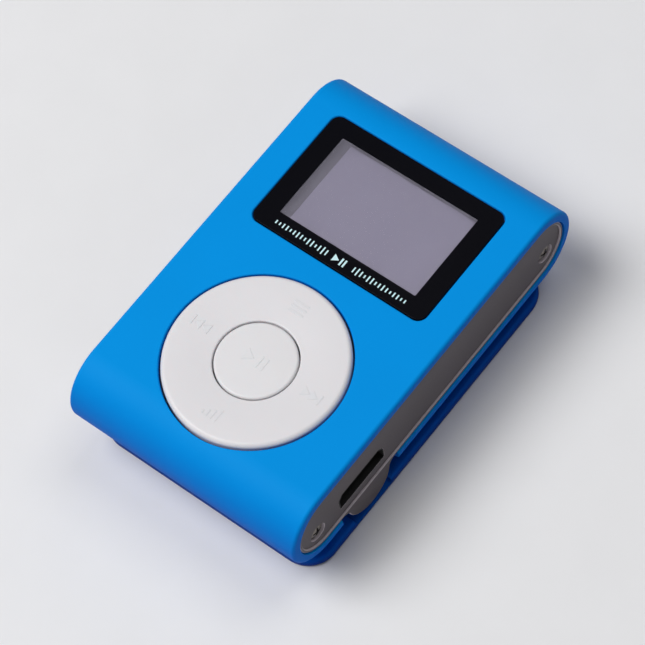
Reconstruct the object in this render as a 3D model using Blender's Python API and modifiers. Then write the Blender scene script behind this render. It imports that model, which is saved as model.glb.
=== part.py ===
"""Clip-on digital audio player, built as the separate pieces it comes apart into.

Run with: blender --background --python part.py
Metres, +Z up.  The player lies on its clip with the face upwards: X is its width,
with the USB side at +X, and Y is its length, with the display at +Y.
"""
import math

import bmesh
import bpy

MM = 0.001

# Body sleeve: a flat tube with full-round ends, open at its two sides.
BODY_LENGTH = 50.0 * MM
BODY_WIDTH = 31.5 * MM
BODY_THICKNESS = 11.0 * MM
SLEEVE_WALL = 1.15 * MM
SLEEVE_EDGE_ROUND = 0.4 * MM
BACK_Z = 3.6 * MM
FACE_Z = BACK_Z + BODY_THICKNESS
MID_Z = BACK_Z + BODY_THICKNESS / 2
INSIDE_LENGTH = BODY_LENGTH - 2 * SLEEVE_WALL
INSIDE_THICKNESS = BODY_THICKNESS - 2 * SLEEVE_WALL
INSIDE_RADIUS = INSIDE_THICKNESS / 2
END_CENTRE_Y = (BODY_LENGTH - BODY_THICKNESS) / 2

# Display window in the face.
LENS_WIDTH = 23.74 * MM
LENS_HEIGHT = 15.96 * MM
LENS_Y = 11.16 * MM
LENS_CORNER = 1.1 * MM
LENS_THICKNESS = 1.0 * MM
LENS_GAP = 0.1 * MM
MASK_THICKNESS = 0.12 * MM
MASK_DROP = 0.03 * MM
VIEW_WIDTH = 18.78 * MM
VIEW_HEIGHT = 11.44 * MM
VIEW_Y = 11.23 * MM

# Display stack on the board.
LCD_SIZE = (22.4 * MM, 14.6 * MM, 1.5 * MM)
LCD_TOP_Z = FACE_Z - 1.5 * MM
BACKLIGHT_SIZE = (21.4 * MM, 13.8 * MM, 0.6 * MM)
HOLDER_WALL = 0.8 * MM
HOLDER_GAP = 0.15 * MM
FLEX_WIDTH = 10.0 * MM
FLEX_THICKNESS = 0.15 * MM

# Control ring and centre button.
RING_Y = -10.57 * MM
RING_RADIUS = 10.47 * MM
RING_BORE = 4.82 * MM
RING_GAP = 0.22 * MM
RING_TOP_Z = FACE_Z + 0.35 * MM
RING_UNDER_Z = FACE_Z - 2.6 * MM
RING_FLANGE_RADIUS = 11.1 * MM
RING_FLANGE_TOP_Z = FACE_Z - 2.1 * MM
RING_TILT_Z = FACE_Z - 3.0 * MM
NUB_CIRCLE = 7.9 * MM
NUB_RADIUS = 0.7 * MM
NUB_BOTTOM_Z = FACE_Z - 3.25 * MM
BUTTON_RADIUS = 4.6 * MM
BUTTON_TOP_Z = FACE_Z + 0.22 * MM
BUTTON_FLANGE_RADIUS = 5.4 * MM
BUTTON_FLANGE_TOP_Z = FACE_Z - 2.9 * MM
BUTTON_BOTTOM_Z = FACE_Z - 3.25 * MM
PIVOT_INNER = 5.8 * MM
PIVOT_OUTER = 7.0 * MM
PIVOT_BOTTOM_Z = FACE_Z - 3.2 * MM
PIVOT_TOP_Z = FACE_Z - 2.9 * MM

# Main board and what stands on it.
BOARD_SIZE = (27.4 * MM, 44.0 * MM, 0.8 * MM)
BOARD_TOP_Z = FACE_Z - 3.9 * MM
BOARD_UNDER_Z = BOARD_TOP_Z - BOARD_SIZE[2]
BOARD_CORNER = 2.0 * MM
UNDER_BOARD_GAP = 0.05 * MM
DOME_RADIUS = 2.0 * MM
DOME_HEIGHT = 0.26 * MM
DOME_SHEET = 0.08 * MM
DOME_BASE_Z = BOARD_TOP_Z + 0.02 * MM
CARRIER_SIZE = 21.0 * MM
CARRIER_THICKNESS = 0.08 * MM
CHIPS = {
    "audio_chip": ((4.5 * MM, -2.0 * MM), (7.0 * MM, 7.0 * MM, 0.9 * MM)),
    "memory_chip": ((-3.0 * MM, -12.5 * MM), (9.0 * MM, 6.6 * MM, 0.8 * MM)),
    "charge_chip": ((10.2 * MM, -4.6 * MM), (3.0 * MM, 3.0 * MM, 1.0 * MM)),
    "clock_crystal": ((5.2 * MM, -9.6 * MM), (3.2 * MM, 2.5 * MM, 0.7 * MM)),
    "power_inductor": ((9.4 * MM, 14.2 * MM), (4.0 * MM, 4.0 * MM, 1.4 * MM)),
    "tantalum_capacitor_1": ((10.4 * MM, 1.6 * MM), (3.5 * MM, 2.8 * MM, 1.6 * MM)),
    "tantalum_capacitor_2": ((10.4 * MM, 6.4 * MM), (3.5 * MM, 2.8 * MM, 1.6 * MM)),
}

# Chassis tray, battery and its leads.
CHASSIS_WIDTH = 27.6 * MM
CHASSIS_GAP = 0.2 * MM
CHASSIS_FLOOR = 0.5 * MM
CHASSIS_BLOCK_Y = 18.2 * MM
CHASSIS_TOP_Z = BOARD_UNDER_Z - 0.15 * MM
TAPE_SIZE = (14.0 * MM, 20.0 * MM, 0.15 * MM)
BATTERY_SIZE = (18.0 * MM, 26.0 * MM, 2.3 * MM)
BATTERY_XY = (-0.5 * MM, -3.0 * MM)
LEAD_RADIUS = 0.35 * MM
LEAD_X = {"battery_lead_red": 2.4 * MM, "battery_lead_black": 4.6 * MM}

# End caps that close the two sides.
CAP_GAP = 0.1 * MM
CAP_INNER_X = 14.1 * MM
CAP_OUTER_X = 15.6 * MM
CAP_RIM = 0.4 * MM
CAP_PANEL_DEPTH = 0.25 * MM
SCREW_Y = 20.65 * MM
SCREW_Z = FACE_Z - 7.05 * MM
SCREW_HEAD_RADIUS = 1.05 * MM
SCREW_HEAD_HEIGHT = 0.5 * MM
SCREW_SHANK_RADIUS = 0.5 * MM
SCREW_SHANK_LENGTH = 5.0 * MM
SCREW_POCKET = 0.65 * MM

# USB port on the +X side.
PORT_Y = -12.93 * MM
PORT_Z = FACE_Z - 6.7 * MM
PORT_WIDE = 7.85 * MM
PORT_NARROW = 6.55 * MM
PORT_HEIGHT = 2.35 * MM
USB_WIDE = 7.5 * MM
USB_NARROW = 6.3 * MM
USB_HEIGHT = 2.45 * MM
USB_SHEET = 0.28 * MM
USB_INNER_X = 8.8 * MM
USB_OUTER_X = 13.9 * MM
TONGUE_WIDTH = 4.6 * MM
TONGUE_THICKNESS = 0.55 * MM
USB_LEG = (1.2 * MM, 0.3 * MM)
USB_LEG_Y = 2.4 * MM

# Headphone jack, card socket and power switch on the -X side.
JACK_Y = 14.0 * MM
JACK_Z = FACE_Z - 6.75 * MM
JACK_BORE = 1.77 * MM
JACK_COLLAR = 2.4 * MM
JACK_COLLAR_LENGTH = 1.3 * MM
JACK_SIZE = (11.4 * MM, 6.2 * MM, 3.95 * MM)
CARD_Y = 2.5 * MM
CARD_SLOT = (11.4 * MM, 1.15 * MM)
CARD_DEPTH = 12.6 * MM
CARD_SIZE = (14.2 * MM, 13.8 * MM, 1.75 * MM)
SWITCH_Y = -10.5 * MM
SWITCH_Z = FACE_Z - 6.1 * MM
SWITCH_TRAVEL = 2.0 * MM
SWITCH_SIZE = (3.6 * MM, 8.6 * MM, 2.2 * MM)
KNOB_TAB = (2.4 * MM, 1.3 * MM)
KNOB_STEM = (1.4 * MM, 0.8 * MM)
KNOB_OUTER_X = 15.75 * MM

# Clip, its hinge ears on the caps, pin and spring.
HINGE_Y = -12.3 * MM
HINGE_Z = 2.4 * MM
EAR_RADIUS = 3.6 * MM
EAR_BOTTOM_Z = 1.0 * MM
EAR_FILLET = 1.2 * MM
PIN_RADIUS = 0.5 * MM
PIN_LENGTH = 29.8 * MM
CLIP_WIDTH = 31.5 * MM
CLIP_THICKNESS = 1.3 * MM
CLIP_LEVER_END_Y = -23.0 * MM
CLIP_JAW_END_Y = 20.7 * MM
CLIP_CORNER = 3.6 * MM
CLIP_LIP_Y = 17.6 * MM
CLIP_LIP_HALF = 1.1 * MM
CLIP_LIP_TOP_Z = BACK_Z - 0.1 * MM
LUG_RADIUS = 1.0 * MM
LUG_BORE = 0.6 * MM
LUG_INNER_X = 6.5 * MM
LUG_OUTER_X = 13.5 * MM
LUG_WEB = 1.9 * MM
COIL_TROUGH = (12.0 * MM, 3.0 * MM)
COIL_TROUGH_DEPTH = 0.25 * MM
EAR_POCKET_FLOOR_Z = 0.65 * MM
EAR_POCKET_HALF = 3.2 * MM
COIL_RADIUS = 0.8 * MM
SPRING_WIRE = 0.16 * MM
COIL_TURNS = 7
COIL_WIDTH = 5.0 * MM
SPRING_LEG = 5.0 * MM

AXIS_TURN = {
    "X": (math.pi / 2, 0.0, math.pi / 2),
    "Z": (0.0, 0.0, 0.0),
}

# Finish: base colour, roughness, metallic.
BLUE_METAL = ((0.003, 0.270, 0.700), 0.42, 0.15)
WHITE_PLASTIC = ((0.740, 0.730, 0.745), 0.45, 0.0)
GREY_PLASTIC = ((0.115, 0.105, 0.108), 0.50, 0.0)
BLACK_GLOSS = ((0.004, 0.004, 0.007), 0.12, 0.0)
CLEAR_ACRYLIC = ((0.900, 0.920, 0.940), 0.05, 0.0)
LCD_GLASS = ((0.250, 0.225, 0.310), 0.25, 0.0)
DIFFUSER_WHITE = ((0.820, 0.820, 0.800), 0.60, 0.0)
BLACK_PLASTIC = ((0.020, 0.020, 0.022), 0.55, 0.0)
FLEX_AMBER = ((0.420, 0.190, 0.030), 0.35, 0.0)
SILICONE = ((0.600, 0.610, 0.620), 0.70, 0.0)
BOARD_GREEN = ((0.010, 0.130, 0.050), 0.40, 0.0)
STEEL = ((0.560, 0.570, 0.580), 0.28, 1.0)
FOIL_SILVER = ((0.500, 0.510, 0.530), 0.35, 0.9)
LEAD_RED = ((0.500, 0.015, 0.010), 0.50, 0.0)
LEAD_BLACK = ((0.012, 0.012, 0.012), 0.50, 0.0)


def clear_scene():
    """Remove every object of the opened file."""
    for obj in list(bpy.data.objects):
        bpy.data.objects.remove(obj, do_unlink=True)


def collection(name, hidden=False):
    """Make a collection linked to the scene."""
    made = bpy.data.collections.new(name)
    bpy.context.scene.collection.children.link(made)
    made.hide_render = hidden
    return made


def material(name, finish):
    """Make a Principled material from a (colour, roughness, metallic) finish."""
    colour, roughness, metallic = finish
    made = bpy.data.materials.new(name)
    made.use_nodes = True
    shader = made.node_tree.nodes["Principled BSDF"]
    shader.inputs["Base Color"].default_value = (*colour, 1.0)
    shader.inputs["Roughness"].default_value = roughness
    shader.inputs["Metallic"].default_value = metallic
    made.diffuse_color = (*colour, 1.0)
    return made


def keep(obj, finish):
    """Put a finished piece in the part's collection with its own material."""
    for owner in list(obj.users_collection):
        owner.objects.unlink(obj)
    PART.objects.link(obj)
    obj.data.materials.clear()
    obj.data.materials.append(material(obj.name, finish))
    return obj


def hide_cutter(obj):
    """Put a Boolean tool in the cutters' collection."""
    for owner in list(obj.users_collection):
        owner.objects.unlink(obj)
    CUTTERS.objects.link(obj)
    obj.display_type = "WIRE"
    obj.hide_render = True
    return obj


def combine(target, tool, operation):
    """Add an exact Boolean to a piece."""
    boolean = target.modifiers.new(operation.lower() + "_" + tool.name, "BOOLEAN")
    boolean.operation = operation
    boolean.solver = "EXACT"
    boolean.object = hide_cutter(tool)


def cut(target, tool):
    """Take a tool's volume out of a piece."""
    combine(target, tool, "DIFFERENCE")


def join(target, tool):
    """Add a tool's volume to a piece."""
    combine(target, tool, "UNION")


def round_edges(obj, width, segments=2):
    """Round a piece's sharp edges."""
    bevel = obj.modifiers.new("round_edges", "BEVEL")
    bevel.width = width
    bevel.segments = segments
    bevel.limit_method = "ANGLE"
    bevel.angle_limit = math.radians(40)
    return obj


def box(name, size, centre):
    """Make a box from its size and centre."""
    bpy.ops.mesh.primitive_cube_add(size=1.0, location=centre)
    made = bpy.context.object
    made.name = name
    made.scale = size
    bpy.ops.object.transform_apply(location=False, rotation=False, scale=True)
    return made


def cylinder(name, radius, length, centre, axis="Z", sides=32):
    """Make a cylinder along a world axis."""
    bpy.ops.mesh.primitive_cylinder_add(vertices=sides, radius=radius, depth=length,
                                        location=centre, rotation=AXIS_TURN[axis])
    made = bpy.context.object
    made.name = name
    return made


def arc(centre, radius, start, end, steps):
    """Points along an arc, both ends included, with angles in degrees."""
    points = []
    for step in range(steps + 1):
        angle = math.radians(start + (end - start) * step / steps)
        points.append((centre[0] + radius * math.cos(angle), centre[1] + radius * math.sin(angle)))
    return points


def rounded_rectangle(width, height, radius, centre=(0.0, 0.0), steps=6):
    """Outline of a rectangle with round corners, counterclockwise."""
    across = width / 2 - radius
    along = height / 2 - radius
    corners = ((across, along, 0), (-across, along, 90), (-across, -along, 180), (across, -along, 270))
    points = []
    for u, v, start in corners:
        points += arc((centre[0] + u, centre[1] + v), radius, start, start + 90, steps)
    return points


def stadium(length, thickness, centre=(0.0, 0.0), steps=12):
    """Outline with full-round ends; a hair less than half keeps its points apart."""
    return rounded_rectangle(length, thickness, thickness * 0.4999, centre, steps)


def extruded(name, outlines, start, end, axis="Z"):
    """Fill closed outlines and extrude them between two places on an axis."""
    curve = bpy.data.curves.new(name, "CURVE")
    curve.dimensions = "2D"
    curve.fill_mode = "BOTH"
    curve.extrude = abs(end - start) / 2
    for outline in outlines:
        spline = curve.splines.new("POLY")
        spline.points.add(len(outline) - 1)
        for point, (u, v) in zip(spline.points, outline):
            point.co = (u, v, 0.0, 1.0)
        spline.use_cyclic_u = True
    drawn = bpy.data.objects.new(name + "_drawn", curve)
    middle = (start + end) / 2
    drawn.location = (middle, 0.0, 0.0) if axis == "X" else (0.0, 0.0, middle)
    drawn.rotation_euler = AXIS_TURN[axis]
    return as_mesh(drawn, name)


def as_mesh(drawn, name):
    """Turn a curve object into a welded mesh object in the same place."""
    bpy.context.scene.collection.objects.link(drawn)
    bpy.context.view_layer.update()
    evaluated = drawn.evaluated_get(bpy.context.evaluated_depsgraph_get())
    mesh = bpy.data.meshes.new_from_object(evaluated)
    shape = bmesh.new()
    shape.from_mesh(mesh)
    bmesh.ops.remove_doubles(shape, verts=shape.verts, dist=1e-6)
    bmesh.ops.recalc_face_normals(shape, faces=shape.faces)
    shape.to_mesh(mesh)
    shape.free()
    made = bpy.data.objects.new(name, mesh)
    made.matrix_world = drawn.matrix_world
    bpy.context.scene.collection.objects.link(made)
    curve = drawn.data
    bpy.data.objects.remove(drawn, do_unlink=True)
    bpy.data.curves.remove(curve)
    return made


def turned(name, profile, centre, axis="Z", closed=False, steps=48):
    """Turn a (radius, height) profile, listed top to bottom, about an axis."""
    mesh = bpy.data.meshes.new(name)
    count = len(profile)
    edges = [(i, i + 1) for i in range(count - 1)]
    if closed:
        edges.append((count - 1, 0))
    mesh.from_pydata([(radius, 0.0, height) for radius, height in profile], edges, [])
    made = bpy.data.objects.new(name, mesh)
    made.location = centre
    made.rotation_euler = AXIS_TURN[axis]
    bpy.context.scene.collection.objects.link(made)
    screw = made.modifiers.new("turn", "SCREW")
    screw.axis = "Z"
    screw.angle = 2 * math.pi
    screw.steps = steps
    screw.render_steps = steps
    screw.use_merge_vertices = True
    screw.merge_threshold = 0.000001
    return made


def wire(name, points, radius):
    """Make a round wire through points, with closed ends."""
    curve = bpy.data.curves.new(name, "CURVE")
    curve.dimensions = "3D"
    curve.bevel_depth = radius
    curve.bevel_resolution = 2
    curve.use_fill_caps = True
    spline = curve.splines.new("POLY")
    spline.points.add(len(points) - 1)
    for point, place in zip(spline.points, points):
        point.co = (*place, 1.0)
    return as_mesh(bpy.data.objects.new(name + "_drawn", curve), name)


def smooth_step(value):
    """Ease from 0 to 1."""
    value = min(max(value, 0.0), 1.0)
    return value * value * (3 - 2 * value)


def make_outer_shell():
    """Blue sleeve: a flat tube with the display window, ring hole and ear notches."""
    outer = stadium(BODY_LENGTH, BODY_THICKNESS, (0.0, MID_Z), 16)
    shell = extruded("outer_shell", [outer], -BODY_WIDTH / 2, BODY_WIDTH / 2, "X")
    round_edges(shell, SLEEVE_EDGE_ROUND, 4)
    inner = stadium(INSIDE_LENGTH, INSIDE_THICKNESS, (0.0, MID_Z), 16)
    cut(shell, extruded("shell_inside", [inner], -BODY_WIDTH, BODY_WIDTH, "X"))
    window = rounded_rectangle(LENS_WIDTH + 2 * LENS_GAP, LENS_HEIGHT + 2 * LENS_GAP,
                               LENS_CORNER + LENS_GAP, (0.0, LENS_Y))
    cut(shell, extruded("shell_window", [window], MID_Z, FACE_Z + SLEEVE_WALL))
    cut(shell, cylinder("shell_ring_hole", RING_RADIUS + RING_GAP, BODY_THICKNESS,
                        (0.0, RING_Y, FACE_Z), sides=72))
    notch_half = ear_fillet_reach() + 0.25 * MM
    for side in (-1, 1):
        middle_x = side * (CAP_INNER_X - CAP_GAP + BODY_WIDTH / 2) / 2
        notch = (BODY_WIDTH / 2 - CAP_INNER_X + 4 * CAP_GAP, 2 * notch_half, 4 * SLEEVE_WALL)
        cut(shell, box("shell_notch", notch, (middle_x + side * CAP_GAP, HINGE_Y, BACK_Z)))
    return keep(shell, BLUE_METAL)


def ear_fillet_reach():
    """Distance along Y from the hinge to where an ear's fillet meets the cap's edge."""
    ear_centre_z = EAR_BOTTOM_Z + EAR_RADIUS
    fillet_z = MID_Z - INSIDE_RADIUS + CAP_GAP - EAR_FILLET
    return math.sqrt((EAR_RADIUS + EAR_FILLET) ** 2 - (ear_centre_z - fillet_z) ** 2)


def cap_outline():
    """End cap outline in (y, z): a stadium with the hinge ear below it."""
    radius = INSIDE_RADIUS - CAP_GAP
    lower_z = MID_Z - radius
    reach = ear_fillet_reach()
    ear_centre = (HINGE_Y, EAR_BOTTOM_Z + EAR_RADIUS)
    fillet_z = lower_z - EAR_FILLET
    lean = math.degrees(math.atan2(ear_centre[1] - fillet_z, reach))
    points = arc((END_CENTRE_Y, MID_Z), radius, -90, 90, 20)
    points += arc((-END_CENTRE_Y, MID_Z), radius, 90, 270, 20)[:-1]
    points += arc((HINGE_Y - reach, fillet_z), EAR_FILLET, 85, lean, 5)
    points += arc(ear_centre, EAR_RADIUS, 180 + lean, 360 - lean, 14)[1:-1]
    points += arc((HINGE_Y + reach, fillet_z), EAR_FILLET, 180 - lean, 95, 5)
    return points


def end_cap(name, side):
    """Plate that closes one side, with a raised rim, screw holes and the hinge ear."""
    cap = extruded(name, [cap_outline()], side * CAP_INNER_X, side * CAP_OUTER_X, "X")
    panel_x = side * (CAP_OUTER_X - CAP_PANEL_DEPTH)
    panel = stadium(INSIDE_LENGTH - 2 * (CAP_GAP + CAP_RIM),
                    INSIDE_THICKNESS - 2 * (CAP_GAP + CAP_RIM), (0.0, MID_Z), 16)
    cut(cap, extruded(name + "_panel", [panel], panel_x, panel_x + side * CAP_OUTER_X / 8, "X"))
    for end in (-1, 1):
        place = (panel_x, end * SCREW_Y, SCREW_Z)
        cut(cap, cylinder(name + "_screw_pocket", SCREW_HEAD_RADIUS + CAP_GAP, 2 * SCREW_POCKET,
                          place, "X", 24))
        cut(cap, cylinder(name + "_screw_hole", SCREW_SHANK_RADIUS + CAP_GAP, 8 * SCREW_POCKET,
                          place, "X", 16))
    pin_socket = 2 * (PIN_LENGTH / 2 + 0.1 * MM - CAP_INNER_X)
    cut(cap, cylinder(name + "_pin_hole", PIN_RADIUS + CAP_GAP / 2, pin_socket,
                      (side * CAP_INNER_X, HINGE_Y, HINGE_Z), "X", 20))
    return cap


def port_outline(wide, narrow, height):
    """Micro-USB outline in (y, z): the wide side is towards the back."""
    half = height / 2
    shoulder = half - (wide - narrow) / 2
    return [(PORT_Y - wide / 2, PORT_Z - half), (PORT_Y + wide / 2, PORT_Z - half),
            (PORT_Y + wide / 2, PORT_Z + shoulder), (PORT_Y + narrow / 2, PORT_Z + half),
            (PORT_Y - narrow / 2, PORT_Z + half), (PORT_Y - wide / 2, PORT_Z + shoulder)]


def make_right_end_cap():
    """Grey cap on the +X side, with the USB opening."""
    cap = end_cap("right_end_cap", 1)
    outline = port_outline(PORT_WIDE, PORT_NARROW, PORT_HEIGHT)
    cut(cap, extruded("usb_opening", [outline], CAP_INNER_X / 2, 2 * CAP_OUTER_X, "X"))
    return keep(cap, GREY_PLASTIC)


def make_left_end_cap():
    """Grey cap on the -X side, with the jack hole, card slot and switch slot."""
    cap = end_cap("left_end_cap", -1)
    depth = 4 * (CAP_OUTER_X - CAP_INNER_X)
    cut(cap, cylinder("jack_opening", JACK_COLLAR + CAP_GAP, depth, (-CAP_OUTER_X, JACK_Y, JACK_Z), "X", 40))
    card_z = BOARD_UNDER_Z - UNDER_BOARD_GAP - CARD_SIZE[2] / 2
    cut(cap, box("card_opening", (depth, CARD_SLOT[0], CARD_SLOT[1]), (-CAP_OUTER_X, CARD_Y, card_z)))
    slot = (depth, KNOB_TAB[0] + SWITCH_TRAVEL + 4 * CAP_GAP, KNOB_TAB[1] + 4 * CAP_GAP)
    cut(cap, box("switch_opening", slot, (-CAP_OUTER_X, SWITCH_Y, SWITCH_Z)))
    return keep(cap, GREY_PLASTIC)


def make_cap_screws():
    """Four countersink-free pan screws that hold the caps to the chassis."""
    profile = [(0.0, SCREW_HEAD_HEIGHT), (SCREW_HEAD_RADIUS * 0.75, SCREW_HEAD_HEIGHT),
               (SCREW_HEAD_RADIUS, SCREW_HEAD_HEIGHT / 2), (SCREW_HEAD_RADIUS, 0.0),
               (SCREW_SHANK_RADIUS, 0.0), (SCREW_SHANK_RADIUS, -SCREW_SHANK_LENGTH),
               (0.0, -SCREW_SHANK_LENGTH)]
    seat_x = CAP_OUTER_X - CAP_PANEL_DEPTH - SCREW_POCKET + CAP_GAP / 2
    for side_name, side in (("right", 1), ("left", -1)):
        for end_name, end in (("top", 1), ("bottom", -1)):
            screw = turned("cap_screw_" + side_name + "_" + end_name, profile,
                           (side * seat_x, end * SCREW_Y, SCREW_Z), steps=20)
            screw.rotation_euler = (0.0, side * math.pi / 2, 0.0)
            keep(screw, STEEL)


def make_screen_lens():
    """Clear window, flush with the face."""
    outline = rounded_rectangle(LENS_WIDTH, LENS_HEIGHT, LENS_CORNER, (0.0, LENS_Y))
    lens = extruded("screen_lens", [outline], FACE_Z - LENS_THICKNESS, FACE_Z)
    return keep(lens, CLEAR_ACRYLIC)


def make_lens_mask():
    """Black printed film under the window, with the viewing opening."""
    outline = rounded_rectangle(LENS_WIDTH, LENS_HEIGHT, LENS_CORNER, (0.0, LENS_Y))
    opening = rounded_rectangle(VIEW_WIDTH, VIEW_HEIGHT, MASK_THICKNESS, (0.0, VIEW_Y), 2)
    top = FACE_Z - LENS_THICKNESS - MASK_DROP
    mask = extruded("lens_mask", [outline, opening], top - MASK_THICKNESS, top)
    return keep(mask, BLACK_GLOSS)


def make_display_stack():
    """Display glass, its backlight, the holder round them and the flex to the board."""
    middle_z = LCD_TOP_Z - LCD_SIZE[2] / 2
    keep(round_edges(box("lcd_panel", LCD_SIZE, (0.0, VIEW_Y, middle_z)), 0.1 * MM), LCD_GLASS)
    light_z = LCD_TOP_Z - LCD_SIZE[2] - 0.05 * MM - BACKLIGHT_SIZE[2] / 2
    keep(box("lcd_backlight", BACKLIGHT_SIZE, (0.0, VIEW_Y, light_z)), DIFFUSER_WHITE)
    make_lcd_holder()
    make_lcd_flex(middle_z)


def make_lcd_holder():
    """Black frame that locates the display under the window."""
    inner = (LCD_SIZE[0] + 2 * HOLDER_GAP, LCD_SIZE[1] + 2 * HOLDER_GAP)
    outer = (inner[0] + 2 * HOLDER_WALL, inner[1] + 2 * HOLDER_WALL)
    opening = rounded_rectangle(*inner, 0.3 * MM, (0.0, VIEW_Y), 3)
    outline = rounded_rectangle(*outer, 1.0 * MM, (0.0, VIEW_Y), 4)
    holder = extruded("lcd_holder", [outline, opening], BOARD_TOP_Z + 0.05 * MM, LCD_TOP_Z)
    slot = (FLEX_WIDTH + 1.0 * MM, 4 * HOLDER_WALL, 2.0 * MM)
    cut(holder, box("holder_flex_slot", slot, (0.0, VIEW_Y - outer[1] / 2, LCD_TOP_Z - 1.4 * MM)))
    return keep(holder, BLACK_PLASTIC)


def make_lcd_flex(display_z):
    """Flat flex that leaves the display's lower edge and drops to the board."""
    edge_y = VIEW_Y - LCD_SIZE[1] / 2 - 0.05 * MM
    board_z = BOARD_TOP_Z + 0.06 * MM
    drop = 1.2 * MM
    path = []
    for step in range(9):
        share = step / 8
        path.append((edge_y - 0.5 * MM - drop * share,
                     display_z + (board_z - display_z) * smooth_step(share)))
    path = [(edge_y, display_z)] + path + [(edge_y - 2.4 * MM, board_z)]
    raised = [(y, z + FLEX_THICKNESS) for y, z in reversed(path)]
    flex = extruded("lcd_flex", [path + raised], -FLEX_WIDTH / 2, FLEX_WIDTH / 2, "X")
    return keep(flex, FLEX_AMBER)


def make_control_ring():
    """White ring with a dished top, a retaining flange and four press nubs."""
    dish = 0.22 * MM
    crown = RING_RADIUS - 0.9 * MM
    top = RING_TOP_Z
    profile = [(RING_BORE, top - dish), (RING_BORE + 1.4 * MM, top - dish)]
    profile += [(crown - 2.2 * MM, top - dish * 0.5), (crown, top)]
    profile += arc((RING_RADIUS - 0.5 * MM, top - 0.5 * MM), 0.5 * MM, 75, 0, 5)
    profile += [(RING_RADIUS, RING_FLANGE_TOP_Z), (RING_FLANGE_RADIUS, RING_FLANGE_TOP_Z)]
    profile += [(RING_FLANGE_RADIUS, RING_UNDER_Z), (RING_BORE, RING_UNDER_Z)]
    profile = [(radius, height - RING_TILT_Z) for radius, height in profile]
    ring = turned("control_ring", profile, (0.0, RING_Y, RING_TILT_Z), closed=True, steps=72)
    for x, y in ((0, 1), (0, -1), (1, 0), (-1, 0)):
        nub_height = RING_UNDER_Z - NUB_BOTTOM_Z + 0.4 * MM
        place = (x * NUB_CIRCLE, RING_Y + y * NUB_CIRCLE, NUB_BOTTOM_Z + nub_height / 2)
        join(ring, cylinder("ring_nub", NUB_RADIUS, nub_height, place, sides=16))
    return keep(ring, WHITE_PLASTIC)


def make_ring_pivot():
    """Silicone gimbal washer that the ring rocks on."""
    profile = [(PIVOT_OUTER, PIVOT_TOP_Z), (PIVOT_OUTER, PIVOT_BOTTOM_Z),
               (PIVOT_INNER, PIVOT_BOTTOM_Z), (PIVOT_INNER, PIVOT_TOP_Z)]
    profile = [(radius, height - RING_TILT_Z) for radius, height in profile]
    pivot = turned("ring_pivot", profile, (0.0, RING_Y, RING_TILT_Z), closed=True)
    return keep(pivot, SILICONE)


def make_center_button():
    """White round button with a flange that the ring holds in."""
    top = BUTTON_TOP_Z
    profile = [(0.0, top), (BUTTON_RADIUS - 1.4 * MM, top - 0.02 * MM)]
    profile += arc((BUTTON_RADIUS - 0.35 * MM, top - 0.4 * MM), 0.35 * MM, 80, 0, 4)
    profile += [(BUTTON_RADIUS, BUTTON_FLANGE_TOP_Z), (BUTTON_FLANGE_RADIUS, BUTTON_FLANGE_TOP_Z),
                (BUTTON_FLANGE_RADIUS, BUTTON_BOTTOM_Z + 0.1 * MM), (1.2 * MM, BUTTON_BOTTOM_Z + 0.1 * MM),
                (1.0 * MM, BUTTON_BOTTOM_Z), (0.0, BUTTON_BOTTOM_Z)]
    button = turned("center_button", profile, (0.0, RING_Y, 0.0), steps=56)
    return keep(button, WHITE_PLASTIC)


def dome_places():
    """Name and centre of each snap dome on the board."""
    return {
        "snap_dome_play": (0.0, RING_Y),
        "snap_dome_menu": (0.0, RING_Y + NUB_CIRCLE),
        "snap_dome_volume": (0.0, RING_Y - NUB_CIRCLE),
        "snap_dome_next": (NUB_CIRCLE, RING_Y),
        "snap_dome_previous": (-NUB_CIRCLE, RING_Y),
    }


def make_snap_domes():
    """Five thin steel domes and the film that holds them on the board."""
    for name, (x, y) in dome_places().items():
        outer = dome_arc(DOME_RADIUS, DOME_HEIGHT)
        inner = dome_arc(DOME_RADIUS - DOME_SHEET, DOME_HEIGHT - DOME_SHEET)
        keep(turned(name, outer + inner[::-1], (x, y, DOME_BASE_Z), steps=24), STEEL)
    film = box("dome_carrier", (CARRIER_SIZE, CARRIER_SIZE, CARRIER_THICKNESS),
               (0.0, RING_Y, DOME_BASE_Z + CARRIER_THICKNESS / 2))
    for name, (x, y) in dome_places().items():
        cut(film, cylinder(name + "_hole", DOME_RADIUS + 0.15 * MM, 1.0 * MM,
                           (x, y, DOME_BASE_Z), sides=24))
    keep(film, DIFFUSER_WHITE)


def dome_arc(radius, height):
    """Cosine dome profile from its crown to its rim."""
    steps = 6
    return [(radius * step / steps, height * math.cos(math.pi / 2 * step / steps)) for step in range(steps + 1)]


def make_main_board():
    """Circuit board with the chips and passives under it."""
    outline = rounded_rectangle(BOARD_SIZE[0], BOARD_SIZE[1], BOARD_CORNER)
    keep(extruded("main_board", [outline], BOARD_UNDER_Z, BOARD_TOP_Z), BOARD_GREEN)
    for name, ((x, y), size) in CHIPS.items():
        place = (x, y, BOARD_UNDER_Z - UNDER_BOARD_GAP - size[2] / 2)
        finish = STEEL if name == "clock_crystal" else BLACK_PLASTIC
        keep(round_edges(box(name, size, place), 0.12 * MM, 1), finish)


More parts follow.
